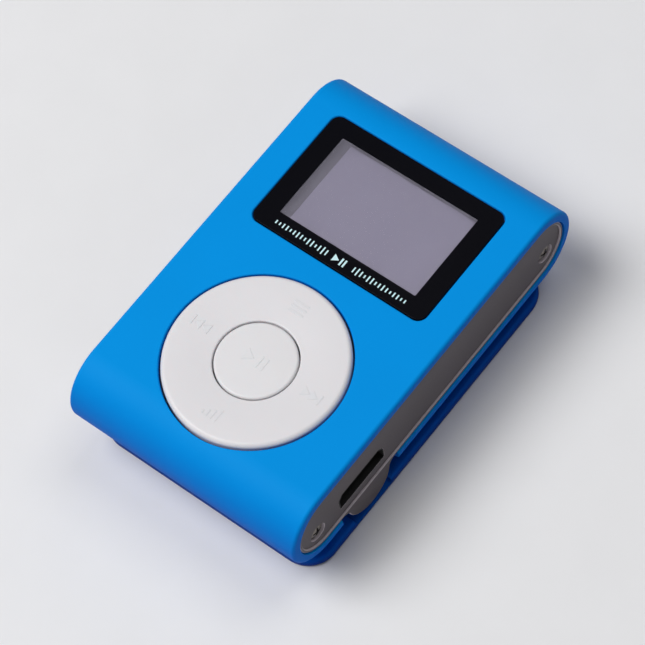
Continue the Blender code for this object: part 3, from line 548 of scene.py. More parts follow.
def blue_with_painted_shade(name, face_colour, painted_shade_colour, roughness):
    """Satin blue whose colour is painted darker round the edges and ends, where the surface turns away from
    +Z: painted shade.
    """
    nodes = Nodes(name)
    # Painted shade: surfaces facing up keep the face colour, and surfaces turned sideways or down get the
    # darker colour that stands for their shade.
    share = nodes.ranged(nodes.normal_part("Z"), 0.0, 1.0, -0.15, 0.97)
    painted_shade_tone = nodes.mixed(share, painted_shade_colour, face_colour)
    cloud = nodes.noise(90.0, 4.0)
    veil = nodes.ramp(cloud, ((0.3, (0.97, 0.97, 0.97)), (0.7, (1.0, 1.0, 1.0))))
    nodes.join(nodes.mixed(1.0, painted_shade_tone, veil, "MULTIPLY"), nodes.shader.inputs["Base Color"])
    nodes.grained(9000.0, roughness * 0.9, roughness * 1.1, 0.0015 * MM)
    nodes.set(Specular_IOR_Level=0.03)
    return nodes.material


def soft_white(name, colour):
    """White plastic with a little light inside it."""
    nodes = moulded(name, colour, 0.42, 7000.0, 0.0012 * MM, 0.012)
    nodes.set(Subsurface_Weight=0.12, Subsurface_Scale=0.0008, IOR=1.46)
    nodes.shader.inputs["Subsurface Radius"].default_value = (1.0, 0.55, 0.45)
    return nodes.material


def grey_with_painted_edge_highlight(name, face_colour, painted_highlight_colour, roughness):
    """Grey plastic whose edges and rims, which don't face sideways, are painted paler: a painted highlight.
    """
    nodes = moulded(name, face_colour, roughness, 6500.0, 0.0035 * MM, 0.07)
    # Painted highlight: the less a surface faces along X, the more it takes of the pale colour.
    size = nodes.add("ShaderNodeMath")
    size.operation = "ABSOLUTE"
    nodes.join(nodes.normal_part("X"), size.inputs[0])
    share = nodes.ranged(size.outputs["Value"], 1.0, 0.0, 0.70, 0.995)
    base = nodes.shader.inputs["Base Color"]
    face = base.links[0].from_socket
    nodes.join(nodes.mixed(share, face, painted_highlight_colour), base)
    return nodes.material


def black_print(name, roughness, gloss):
    """Black ink on the window."""
    nodes = moulded(name, (0.0022, 0.0022, 0.0042), roughness, 3000.0, 0.0003 * MM, 0.10)
    nodes.set(Specular_IOR_Level=gloss)
    return nodes.material


def clear_window():
    """Clear acrylic window."""
    nodes = moulded("lens_clear", (0.97, 0.98, 1.0), 0.02, 2500.0, 0.0002 * MM, 0.004)
    nodes.set(Transmission_Weight=1.0, IOR=1.30)
    return nodes.material


def display_glass(name, colour, shade):
    """Switched-off display: even grey with a faint dot matrix and a soft drift in tone."""
    nodes = Nodes(name)
    cells = nodes.add("ShaderNodeTexBrick")
    cells.offset = 0.0
    cells.inputs["Scale"].default_value = 5500.0
    cells.inputs["Brick Width"].default_value = 1.0
    cells.inputs["Row Height"].default_value = 1.0
    cells.inputs["Mortar Size"].default_value = 0.08
    cells.inputs["Color1"].default_value = (*colour, 1.0)
    cells.inputs["Color2"].default_value = (*tinted(colour, 0.99), 1.0)
    cells.inputs["Mortar"].default_value = (*tinted(colour, shade), 1.0)
    nodes.join(nodes.place, cells.inputs["Vector"])
    drift = nodes.ramp(nodes.noise(60.0, 2.0), ((0.3, (0.96, 0.96, 0.96)), (0.7, (1.0, 1.0, 1.0))))
    nodes.join(nodes.mixed(1.0, cells.outputs["Color"], drift, "MULTIPLY"), nodes.shader.inputs["Base Color"])
    nodes.grained(9000.0, 0.40, 0.5, 0.0004 * MM)
    return nodes.material


def circuit_board():
    """Green solder mask with a pattern of copper runs under it."""
    nodes = Nodes("board_green")
    runs = nodes.add("ShaderNodeTexBrick")
    runs.inputs["Scale"].default_value = 420.0
    runs.inputs["Mortar Size"].default_value = 0.035
    runs.inputs["Color1"].default_value = (0.008, 0.100, 0.038, 1.0)
    runs.inputs["Color2"].default_value = (0.009, 0.115, 0.044, 1.0)
    runs.inputs["Mortar"].default_value = (0.030, 0.240, 0.080, 1.0)
    nodes.join(nodes.place, runs.inputs["Vector"])
    nodes.join(runs.outputs["Color"], nodes.shader.inputs["Base Color"])
    nodes.join(nodes.ranged(nodes.noise(700.0), 0.28, 0.42), nodes.shader.inputs["Roughness"])
    nodes.bump(runs.outputs["Fac"], 0.01 * MM)
    return nodes.material


def brushed_metal(name, colour, roughness, stretch):
    """Metal with fine drawn lines along one direction."""
    return moulded(name, colour, roughness, 4000.0, 0.002 * MM, 0.05, 1.0, stretch).material


def floor_finish():
    """Pale studio floor."""
    nodes = moulded("floor_pale", (0.80, 0.80, 0.81), 0.65, 900.0, 0.01 * MM, 0.01)
    return nodes.material


# The sleeve's second, deeper blue is painted shade on its edges and ends.
SLEEVE_BLUE_PAINTED_SHADE = blue_with_painted_shade("sleeve_blue", (0.001, 0.285, 0.760), (0.001, 0.120, 0.560), 0.50)
# The clip is the same blue plastic as the sleeve; its darker colours paint the shade that falls on it under
# the player.
CLIP_BLUE_PAINTED_SHADE = blue_with_painted_shade("clip_blue", (0.001, 0.080, 0.420), (0.001, 0.030, 0.240), 0.50)
RING_WHITE = soft_white("ring_white", (0.745, 0.730, 0.750))
BUTTON_WHITE = soft_white("button_white", (0.755, 0.745, 0.760))
# The cap's pale second colour is a painted highlight on its rims and rounded edges.
CAP_GREY_PAINTED_HIGHLIGHT = grey_with_painted_edge_highlight("cap_grey", (0.076, 0.062, 0.070), (0.560, 0.500, 0.540), 0.50)
MASK_BLACK = black_print("mask_black", 0.30, 0.10)
LENS_CLEAR = clear_window()
LCD_GREY = display_glass("lcd_glass", (0.128, 0.115, 0.157), 0.93)
# The ledge's darker grey is painted shade along the display's left edge.
LCD_LEDGE_PAINTED_SHADE = display_glass("lcd_ledge_painted_shade", (0.074, 0.068, 0.088), 0.97)
PRINT_PALE = moulded("print_pale", (0.620, 0.860, 0.900), 0.50, 9000.0, 0.0005 * MM, 0.05).material
PLASTIC_BLACK = moulded("plastic_black", (0.018, 0.018, 0.020), 0.50, 5000.0, 0.003 * MM, 0.12).material
# Port black, darker than the other black plastic, gives the insert its black and paints the shade inside the
# port's mouth.
PORT_BLACK_AND_PAINTED_SHADE = moulded("port_black_and_painted_shade", (0.004, 0.004, 0.004), 0.70, 5000.0, 0.003 * MM, 0.12).material
# The screw heads' steel is darkened to paint the shade of their recesses.
SCREW_STEEL_PAINTED_SHADE = brushed_metal("screw_steel", (0.20, 0.18, 0.16), 0.28, (1.0, 1.0, 6.0))
PORT_STEEL_PAINTED_SHADE = brushed_metal("port_steel_painted_shade", (0.030, 0.030, 0.032), 0.60, (8.0, 1.0, 1.0))
# The receptacle's steel is darkened nearly to black: painted shade inside the port.
SHEET_STEEL = brushed_metal("sheet_steel", (0.52, 0.53, 0.54), 0.34, (8.0, 1.0, 1.0))
SPRING_STEEL = brushed_metal("spring_steel", (0.47, 0.48, 0.49), 0.30, (5.0, 1.0, 1.0))
CONTACT_GOLD = brushed_metal("contact_gold", (0.83, 0.58, 0.22), 0.28, (6.0, 1.0, 1.0))
FOIL_SILVER = moulded("foil_silver", (0.52, 0.53, 0.55), 0.34, 650.0, 0.03 * MM, 0.06, 0.9).material
DIFFUSER_WHITE = moulded("diffuser_white", (0.82, 0.82, 0.80), 0.60, 3000.0, 0.002 * MM, 0.02).material
FILM_WHITE = moulded("film_white", (0.80, 0.80, 0.78), 0.45, 2600.0, 0.002 * MM, 0.02).material
FLEX_AMBER = moulded("flex_amber", (0.42, 0.19, 0.03), 0.35, 1500.0, 0.004 * MM, 0.12,
                     stretch=(1.0, 9.0, 1.0)).material
SILICONE = moulded("silicone_grey", (0.60, 0.61, 0.62), 0.70, 3000.0, 0.004 * MM, 0.03).material
BOARD_GREEN = circuit_board()
LEAD_RED = moulded("lead_red", (0.50, 0.015, 0.010), 0.48, 4000.0, 0.003 * MM, 0.08).material
LEAD_BLACK = moulded("lead_black", (0.012, 0.012, 0.012), 0.48, 4000.0, 0.003 * MM, 0.12).material
CHIP_BLACK = moulded("chip_black", (0.022, 0.022, 0.024), 0.62, 8000.0, 0.006 * MM, 0.15).material

INNER_FINISH = (
    (DIFFUSER_WHITE, ("lcd_backlight",)),
    (PLASTIC_BLACK, ("lcd_holder", "chassis_tray")),
    (FLEX_AMBER, ("lcd_flex",)),
    (SILICONE, ("ring_pivot",)),
    (SHEET_STEEL, ("snap_dome_play", "snap_dome_menu", "snap_dome_volume", "snap_dome_next",
                   "snap_dome_previous", "clock_crystal", "card_socket", "switch_body", "hinge_pin")),
    (FILM_WHITE, ("dome_carrier", "battery_tape")),
    (BOARD_GREEN, ("main_board",)),
    (CHIP_BLACK, ("audio_chip", "memory_chip", "charge_chip", "power_inductor",
                  "tantalum_capacitor_1", "tantalum_capacitor_2")),
    (FOIL_SILVER, ("battery",)),
    (LEAD_RED, ("battery_lead_red",)),
    (LEAD_BLACK, ("battery_lead_black",)),
    (SPRING_STEEL, ("torsion_spring",)),
)


def finish_inner_nodes():
    """Give every CAD node that stays its own procedural material."""
    for material, names in INNER_FINISH:
        for name in names:
            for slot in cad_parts[name].material_slots:
                slot.material = material


# Sleeve.

def face_height(_, y):
    """Height of the sleeve's outer face at a place, flat between its round ends and the same at every X."""
    past = max(abs(y) - END_CENTRE_Y, 0.0)
    return MID_Z + math.sqrt(max(END_RADIUS ** 2 - past ** 2, 0.0))


def sleeve_section():
    """Wall section as (x, depth below the outer surface), with the soft outer edges."""
    flat = HALF_WIDTH - SLEEVE_EDGE_ROUND
    right = [(flat + SLEEVE_EDGE_ROUND * math.sin(math.pi / 2 * step / 12),
              SLEEVE_EDGE_ROUND * (1 - math.cos(math.pi / 2 * step / 12))) for step in range(13)]
    right += [(HALF_WIDTH, SLEEVE_WALL - INNER_CHAMFER), (HALF_WIDTH - INNER_CHAMFER, SLEEVE_WALL)]
    left = [(-x, depth) for x, depth in reversed(right)]
    return left + right


def make_sleeve():
    """Blue sleeve: a seamless flat tube, open at its sides, with rounded openings in its face."""
    path = []
    arc_steps = 48
    for centre_y, start in ((END_CENTRE_Y, -90), (-END_CENTRE_Y, 90)):
        for step in range(arc_steps + 1):
            angle = math.radians(start + 180 * step / arc_steps)
            path.append((centre_y, math.cos(angle), math.sin(angle)))
    rings = []
    for centre_y, across, up in path:
        rings.append([(x, centre_y + (END_RADIUS - depth) * across, MID_Z + (END_RADIUS - depth) * up)
                      for x, depth in sleeve_section()])
    sleeve = skin("sleeve", rings, wrap_rings=True, wrap_ends=True)
    lens_size = (LENS_HIGH.x - LENS_LOW.x, LENS_HIGH.y - LENS_LOW.y)
    lens_y = (LENS_HIGH.y + LENS_LOW.y) / 2
    window = rounded_rectangle(lens_size[0] + 2 * LENS_GAP, lens_size[1] + 2 * LENS_GAP,
                               LENS_CORNER + LENS_GAP, (0.0, lens_y), 12)
    carve(sleeve, opening_tool("window_tool", window, MID_Z, face_height, OPENING_ROUND))
    hole = circle((0.0, RING_Y), RING_RADIUS + RING_GAP, 160)
    carve(sleeve, opening_tool("ring_tool", hole, MID_Z, face_height, OPENING_ROUND))
    notch_half = ear_reach() + NOTCH_GAP
    inner_x = CAP_INNER_X - 3 * CAP_GAP
    for side in (-1, 1):
        outline = rounded_rectangle(2 * (HALF_WIDTH - inner_x), 2 * notch_half, NOTCH_CORNER,
                                    (side * HALF_WIDTH, HINGE_Y))
        carve(sleeve, prism("notch_tool", outline, BACK_Z - SLEEVE_WALL, BACK_Z + 2 * SLEEVE_WALL))
    return finished(sleeve, "case", SLEEVE_BLUE_PAINTED_SHADE, ["outer_shell"])


# Ring, button.

def ring_height(radius):
    """Height of the ring's dished top face at a radius."""
    crown = RING_RADIUS - RING_DISH_EDGE
    share = min(max((radius - RING_BORE) / (crown - RING_BORE), 0.0), 1.0)
    return RING_HIGH.z - RING_DISH * (1 - math.sin(share * math.pi / 2))


def make_ring():
    """White control ring with a dished face and a soft outer edge."""
    top = RING_HIGH.z
    lip = RING_BORE + RING_BORE_ROUND
    profile = [(RING_BORE, RING_UNDER_Z)]
    for step in range(7):
        angle = math.pi / 2 * step / 6
        radius = RING_BORE + RING_BORE_ROUND * (1 - math.cos(angle))
        profile.append((radius, ring_height(lip) - RING_BORE_ROUND * (1 - math.sin(angle))))
    crown = RING_RADIUS - RING_EDGE_ROUND
    for step in range(1, 25):
        radius = lip + (crown - lip) * step / 25
        profile.append((radius, ring_height(radius)))
    for step in range(13):
        angle = math.pi / 2 * (1 - step / 12)
        profile.append((crown + RING_EDGE_ROUND * math.cos(angle),
                        top - RING_EDGE_ROUND * (1 - math.sin(angle))))
    profile += [(RING_RADIUS, RING_FLANGE_TOP_Z), (RING_FLANGE_RADIUS, RING_FLANGE_TOP_Z),
                (RING_FLANGE_RADIUS, RING_UNDER_Z)]
    ring = turned("ring", profile, (0.0, RING_Y), 180, closed=True)
    return finished(ring, "ring", RING_WHITE, ["control_ring"])


def raised_mark(name, polygons, centre, height_at):
    """Low raised shapes that follow the surface under them."""
    parts = []
    for index, polygon in enumerate(polygons):
        placed = [(centre[0] + u * MM, centre[1] + v * MM) for u, v in polygon]
        rings = []
        levels = ((0.0, -MARK_ROOT), (0.0, MARK_HEIGHT * MARK_SHOULDER), (-MARK_TAPER, MARK_HEIGHT))
        for shift, lift in levels:
            rings.append([(x, y, height_at(x, y) + lift) for x, y in shifted(placed, shift)])
        parts.append(skin(name + "_part_" + str(index), rings, caps=True))
    return merged(name, parts)


def bar(width, height, centre=(0.0, 0.0)):
    """Rectangle, counterclockwise, in millimetres."""
    u, v = centre
    return [(u - width / 2, v - height / 2), (u + width / 2, v - height / 2),
            (u + width / 2, v + height / 2), (u - width / 2, v + height / 2)]


def triangle(width, height, centre=(0.0, 0.0), way=1):
    """Triangle that points along +u or -u, counterclockwise, in millimetres."""
    u, v = centre
    back = u - way * width / 2
    points = [(back, v - height / 2), (u + way * width / 2, v), (back, v + height / 2)]
    return points if way > 0 else points[::-1]


def skip_shapes(way):
    """Two triangles and a bar that point outwards along +u or -u."""
    shapes = [triangle(1.0, MARK_SIZE, (way * u, 0), way) for u in (-0.65, 0.4)]
    return shapes + [bar(MARK_STROKE, MARK_SIZE, (way * 1.15, 0))]


def make_marks():
    """Plain raised symbols on the ring and the button."""
    def on_ring(x, y):
        return ring_height(math.hypot(x, y - RING_Y))

    def on_button(x, y):
        return button_height(math.hypot(x, y - RING_Y))

    spots = {
        "mark_menu": ((0, 1), [bar(MENU_WIDTH, MARK_STROKE, (0, offset))
                               for offset in (-MENU_STEP, 0.0, MENU_STEP)]),
        "mark_volume": ((0, -1), [bar(MARK_STROKE, height, (u, height / 2 - 0.8))
                                  for u, height in VOLUME_BARS]),
        "mark_next": ((1, 0), skip_shapes(1)),
        "mark_previous": ((-1, 0), skip_shapes(-1)),
    }
    for name, ((across, along), shapes) in spots.items():
        centre = (across * MARK_CIRCLE, RING_Y + along * MARK_CIRCLE)
        mark = raised_mark(name, shapes, centre, on_ring)
        finished(mark, "ring", RING_WHITE)
    play = [triangle(1.25, PLAY_SIZE, (-0.85, 0))]
    play += [bar(PLAY_STROKE, PLAY_SIZE, (u, 0)) for u in (0.45, 1.15)]
    mark = raised_mark("mark_play", play, (0.0, RING_Y), on_button)
    finished(mark, "button", BUTTON_WHITE)


def button_height(radius):
    """Height of the button's slightly crowned top at a radius."""
    share = min(radius / BUTTON_RADIUS, 1.0)
    return BUTTON_HIGH.z - BUTTON_CROWN * share ** 2


def make_button():
    """White centre button with a soft edge."""
    crown = BUTTON_RADIUS - BUTTON_EDGE_ROUND
    profile = [(crown * step / 16, button_height(crown * step / 16)) for step in range(17)]
    edge_top = button_height(crown)
    for step in range(1, 11):
        angle = math.pi / 2 * (1 - step / 10)
        profile.append((crown + BUTTON_EDGE_ROUND * math.cos(angle),
                        edge_top - BUTTON_EDGE_ROUND * (1 - math.sin(angle))))
    profile += [(BUTTON_RADIUS, BUTTON_FLANGE_TOP_Z), (BUTTON_HIGH.x, BUTTON_FLANGE_TOP_Z),
                (BUTTON_HIGH.x, BUTTON_LOW.z), (0.0, BUTTON_LOW.z)]
    button = turned("button", profile, (0.0, RING_Y), 128)
    return finished(button, "button", BUTTON_WHITE, ["center_button"])


# Display.

def make_lens():
    """Clear window in its black frame, which wraps round the window's edge."""
    width = LENS_HIGH.x - LENS_LOW.x
    height = LENS_HIGH.y - LENS_LOW.y
    outline = rounded_rectangle(width, height, LENS_CORNER, (0.0, (LENS_HIGH.y + LENS_LOW.y) / 2), 12)
    view = rounded_rectangle(2 * VIEW_HALF[0], 2 * VIEW_HALF[1], VIEW_CORNER, (0.0, VIEW_Y), 4)
    step_z = LENS_HIGH.z - FRAME_DEPTH
    black = prism("lens_frame", outline, LENS_LOW.z, LENS_HIGH.z, 0.0, LENS_EDGE_ROUND)
    carve(black, prism("view_tool", view, LENS_LOW.z - PAST, LENS_HIGH.z + PAST))
    inside = shifted(outline, -FRAME_WRAP)
    carve(black, prism("inside_tool", inside, LENS_LOW.z - PAST, step_z))
    finished(black, "case", MASK_BLACK, ["lens_mask"], FLAT_ANGLE)
    clear = shifted(outline, -FRAME_WRAP - FRAME_GAP)
    lens = prism("lens", clear, LENS_LOW.z, step_z - FRAME_GAP)
    # Neither casts a shadow, so that the display under them is evenly lit.
    lens.visible_shadow = False
    black.visible_shadow = False
    return finished(lens, "case", LENS_CLEAR, ["screen_lens"], FLAT_ANGLE)


def make_display():
    """Display glass, and the polarizer film that stops short of its left edge; the bare glass beside the film
    is painted darker, as painted shade.
    """
    display_top = LENS_LOW.z - DISPLAY_GAP
    glass_top = display_top - POLARIZER_STEP
    outline = rounded_rectangle(LCD_HIGH.x - LCD_LOW.x, LCD_HIGH.y - LCD_LOW.y, DISPLAY_CORNER,
                                (0.0, VIEW_Y), 3)
    glass = prism("lcd_base", outline, LCD_LOW.z, glass_top, 0.0, DISPLAY_EDGE_ROUND)
    finished(glass, "case", LCD_LEDGE_PAINTED_SHADE, ["lcd_panel"])
    left = -VIEW_HALF[0] + POLARIZER_INSET_LEFT
    right = LCD_HIGH.x - POLARIZER_INSET
    low = LCD_LOW.y + POLARIZER_INSET
    high = VIEW_Y + VIEW_HALF[1]
    film = rounded_rectangle(right - left, high - low, POLARIZER_CORNER,
                             ((left + right) / 2, (low + high) / 2), 8)
    polarizer = prism("lcd_polarizer", film, glass_top - POLARIZER_ROOT, display_top,
                      0.0, POLARIZER_EDGE_ROUND)
    finished(polarizer, "case", LCD_GREY)


def make_print():
    """Plain sound-wave strip under the display, in place of the lettering."""
    shapes = [triangle(0.8, PRINT_SIZE, (-0.55, 0))]
    shapes += [bar(PRINT_STROKE, PRINT_SIZE, (u, 0)) for u in (0.15, 0.6)]
    for side in (-1, 1):
        for index in range(WAVE_BARS):
            height = 0.30 + 0.70 * abs(math.sin(index * 0.9 + 0.6)) * (1 - index / 22)
            shapes.append(bar(WAVE_STROKE, height, (side * (WAVE_START + index * WAVE_STEP), 0)))
    parts = []
    low = LENS_HIGH.z - PRINT_THICKNESS / 2
    for index, shape in enumerate(shapes):
        placed = [(u * MM, PRINT_Y + v * MM) for u, v in shape]
        parts.append(prism("print_part_" + str(index), placed, low, low + PRINT_THICKNESS))
    finished(merged("lens_print", parts), "case", PRINT_PALE)


# End caps.

def ear_reach():
    """Distance along Y from the hinge to where an ear's fillet meets the cap's edge."""
    fillet_z = MID_Z - INSIDE_RADIUS + CAP_GAP - EAR_FILLET
    return math.sqrt((EAR_RADIUS + EAR_FILLET) ** 2 - (EAR_BOTTOM_Z + EAR_RADIUS - fillet_z) ** 2)


def cap_outline():
    """End cap outline in (y, z): a stadium with the hinge ear below it."""
    radius = INSIDE_RADIUS - CAP_GAP
    reach = ear_reach()
    ear_centre = (HINGE_Y, EAR_BOTTOM_Z + EAR_RADIUS)
    fillet_z = MID_Z - radius - EAR_FILLET
    lean = math.degrees(math.atan2(ear_centre[1] - fillet_z, reach))
    points = arc((END_CENTRE_Y, MID_Z), radius, -90, 90, 40)
    points += arc((-END_CENTRE_Y, MID_Z), radius, 90, 270, 40)
    points += arc((HINGE_Y - reach, fillet_z), EAR_FILLET, 84, lean, 8)
    points += arc(ear_centre, EAR_RADIUS, 180 + lean, 360 - lean, 32)[1:-1]
    points += arc((HINGE_Y + reach, fillet_z), EAR_FILLET, 180 - lean, 96, 8)
    return points


def port_outline(wide, narrow, height, corner=PORT_CORNER):
    """Micro-USB outline in (y, z) with round corners: the wide side is towards the back."""
    half = height / 2
    shoulder = half - (wide - narrow) / 2 - PORT_SHOULDER
    corners = [(-wide / 2, -half), (wide / 2, -half), (wide / 2, shoulder), (narrow / 2, half),
               (-narrow / 2, half), (-wide / 2, shoulder)]
    points = []
    count = len(corners)
    for index, corner_place in enumerate(corners):
        here = Vector(corner_place)
        before = (Vector(corners[index - 1]) - here).normalized()
        after = (Vector(corners[(index + 1) % count]) - here).normalized()
        for step in range(6):
            share = step / 5
            edge_point = here + before * corner * (1 - share) ** 2 + after * corner * share ** 2
            points.append((PORT_Y + edge_point.x, PORT_Z + edge_point.y))
    return points


def end_cap(name, place):
    """Cap plate with a rounded rim, a sunk panel and screw recesses."""
    cap = prism(name, cap_outline(), CAP_INNER_X, CAP_OUTER_X, 0.0, CAP_EDGE_ROUND, place)
    panel_x = CAP_OUTER_X - CAP_PANEL_DEPTH
    panel = stadium(2 * (END_CENTRE_Y + INSIDE_RADIUS - CAP_GAP - CAP_RIM),
                    2 * (INSIDE_RADIUS - CAP_GAP - CAP_RIM), (0.0, MID_Z), 24)
    carve(cap, opening_tool(name + "_panel_tool", panel, panel_x, lambda u, v: CAP_OUTER_X,
                            PANEL_EDGE_ROUND, place))
    for end in (-1, 1):
        spot = circle((end * SCREW_Y, SCREW_Z), SCREW_HEAD_RADIUS + CAP_GAP, 48)
        carve(cap, opening_tool(name + "_pocket_tool", spot, panel_x - SCREW_POCKET, lambda u, v: panel_x,
                                POCKET_EDGE_ROUND, place))
        bore = circle((end * SCREW_Y, SCREW_Z), SCREW_BORE, 32)
        carve(cap, prism(name + "_bore_tool", bore, CAP_INNER_X - PAST, CAP_OUTER_X, place=place))
    socket = circle((HINGE_Y, HINGE_Z), PIN_SOCKET, 32)
    carve(cap, prism(name + "_pin_tool", socket, CAP_INNER_X - PAST, PIN_HIGH.x + CAP_GAP, place=place))
    return cap


def make_right_cap():
    """Grey cap on the USB side, and a near-black sheet inside its port's mouth that is painted shade."""
    cap = end_cap("cap_right", face_right)
    panel_x = CAP_OUTER_X - CAP_PANEL_DEPTH
    outline = port_outline(PORT_WIDE, PORT_NARROW, PORT_HEIGHT)
    carve(cap, opening_tool("port_tool", outline, CAP_INNER_X - PAST, lambda u, v: panel_x,
                            PORT_EDGE_ROUND, face_right))
    # Painted shade: a near-black sheet round the inside of the port's mouth.
    mouth = shifted(outline, -SHADE_LINING_GAP)
    shade_lining = prism("port_shade_lining", mouth, CAP_INNER_X, panel_x - SHADE_LINING_GAP, place=face_right)
    hollow = shifted(outline, -SHADE_LINING_GAP - SHADE_LINING_WALL)
    carve(shade_lining, prism("shade_lining_tool", hollow, CAP_INNER_X - PAST, CAP_OUTER_X, place=face_right))
    finished(shade_lining, "case", PORT_BLACK_AND_PAINTED_SHADE)
    return finished(cap, "case", CAP_GREY_PAINTED_HIGHLIGHT, ["right_end_cap"])


def make_left_cap():
    """Grey cap on the jack, card and switch side."""
    cap = end_cap("cap_left", face_left)
    panel_x = CAP_OUTER_X - CAP_PANEL_DEPTH
    openings = (
        circle((JACK_Y, JACK_Z), JACK_COLLAR + CAP_GAP, 64),
        rounded_rectangle(*CARD_SLOT, SLOT_CORNER, (CARD_Y, CARD_Z), 5),
        rounded_rectangle(*SWITCH_SLOT, SLOT_CORNER, (SWITCH_Y, SWITCH_Z), 5),
    )
    for outline in openings:
        carve(cap, opening_tool("left_tool", outline, CAP_INNER_X - PAST, lambda u, v: panel_x,
                                SLOT_EDGE_ROUND, face_left))
    return finished(cap, "case", CAP_GREY_PAINTED_HIGHLIGHT, ["left_end_cap"])


def make_screws():
    """Cap screws with a crowned head and a cross recess."""
    seat_x = SCREW_LOW.x + SCREW_LENGTH
    top_x = seat_x + SCREW_HEAD_HEIGHT
    profile = [(0.0, top_x)]
    profile += [(SCREW_HEAD_RADIUS * share, top_x - drop * MM) for share, drop in SCREW_CROWN]
    profile += [(SCREW_HEAD_RADIUS, seat_x), (SCREW_SHAFT, seat_x)]
    profile += [(SCREW_SHAFT, SCREW_LOW.x), (0.0, SCREW_LOW.x)]
    for side_name, place in (("right", face_right), ("left", face_left)):
        for end_name, end in (("top", 1), ("bottom", -1)):
            where = side_name + "_" + end_name
            screw = turned("screw_" + where, profile, (end * SCREW_Y, SCREW_Z), 48, place=place)
            angle = math.radians(24 + 40 * end)
            for length, width in ((CROSS_LONG, CROSS_NARROW), (CROSS_NARROW, CROSS_LONG)):
                points = []
                for u, v in bar(length, width):
                    points.append((end * SCREW_Y + (u * math.cos(angle) - v * math.sin(angle)) * MM,
                                   SCREW_Z + (u * math.sin(angle) + v * math.cos(angle)) * MM))
                carve(screw, prism("cross_tool", points, top_x - CROSS_DEPTH, top_x + PAST, place=place))
            finished(screw, "case", SCREW_STEEL_PAINTED_SHADE, ["cap_screw_" + where])


def make_usb():
    """Receptacle shell on its two legs, tongue and contacts."""
    outer = port_outline(*USB_OUTER)
    shell = prism("usb_receptacle", outer, USB_LOW.x, USB_HIGH.x, 0.0, 0.06 * MM, face_right)
    inner = port_outline(*USB_INNER, USB_CORNER)
    carve(shell, prism("usb_inside_tool", inner, USB_LOW.x - PAST, USB_HIGH.x + PAST, place=face_right))
    leg_low = PORT_Z + USB_LEG_ROOT
    leg_x = [USB_LOW.x + offset for offset in USB_LEG_X]
    for side in (-1, 1):
        leg = rounded_rectangle(USB_LEG_WIDTH, USB_HIGH.z - leg_low, 0.05 * MM,
                                (PORT_Y + side * USB_LEG_Y, (USB_HIGH.z + leg_low) / 2), 2)
        carve(shell, prism("leg_tool", leg, *leg_x, place=face_right), "UNION")
    # Near-black steel: painted shade inside the port.
    finished(shell, "case", PORT_STEEL_PAINTED_SHADE, ["usb_shell"])
    plug = port_outline(*USB_PLUG, USB_CORNER)
    insert = prism("usb_tongue", plug, USB_LOW.x, USB_LOW.x + 1.2 * MM, place=face_right)
    tongue = rounded_rectangle(*TONGUE_SIZE, 0.12 * MM, (PORT_Y, PORT_Z + TONGUE_RISE), 4)
    tongue_end = USB_HIGH.x - 0.4 * MM
    tool = prism("tongue_tool", tongue, USB_LOW.x + 0.2 * MM, tongue_end, 0.0, 0.1 * MM, face_right)
    carve(insert, tool, "UNION")
    finished(insert, "case", PORT_BLACK_AND_PAINTED_SHADE, ["usb_insert"])
    strips = []
    for index in range(5):
        middle = PORT_Y + (index - 2) * CONTACT_STEP
        outline = rounded_rectangle(*CONTACT_SIZE, 0.02 * MM, (middle, PORT_Z - 0.1 * MM), 2)
        strips.append(prism("contact_" + str(index), outline, USB_LOW.x + 1.0 * MM, tongue_end - 0.5 * MM,
                            place=face_right))
    finished(merged("usb_contacts", strips), "case", CONTACT_GOLD)


def make_jack():
    """Headphone jack with a rounded collar and a bright ring in its mouth."""
    centre = (JACK_Y, JACK_Z)
    body = rounded_rectangle(JACK_HIGH.y - JACK_LOW.y, JACK_HIGH.z - JACK_LOW.z, 0.3 * MM,
                             (JACK_Y, (JACK_HIGH.z + JACK_LOW.z) / 2), 4)
    body_x = CAP_INNER_X - CAP_GAP
    collar_x = -JACK_LOW.x
    jack = prism("jack", body, -JACK_HIGH.x, body_x, place=face_left)
    collar = circle(centre, JACK_COLLAR, 72)
    tool = prism("jack_collar_tool", collar, body_x - 0.5 * MM, collar_x, 0.0, JACK_EDGE_ROUND, face_left)
    carve(jack, tool, "UNION")
    mouth = circle(centre, JACK_BORE, 64)
    carve(jack, opening_tool("jack_bore_tool", mouth, body_x - JACK_DEPTH, lambda u, v: collar_x,
                             JACK_EDGE_ROUND, face_left))
    finished(jack, "case", PLASTIC_BLACK, ["headphone_jack"])
    outer = circle(centre, JACK_BORE - 0.01 * MM, 64)
    rim = prism("jack_sleeve", outer, body_x - JACK_SLEEVE[0], collar_x - JACK_SLEEVE[1], place=face_left)
    bore = circle(centre, JACK_BORE - 0.01 * MM - JACK_SLEEVE_WALL, 64)
    carve(rim, prism("jack_sleeve_tool", bore, body_x - JACK_SLEEVE[0] - PAST, collar_x, place=face_left))
    finished(rim, "case", SHEET_STEEL)


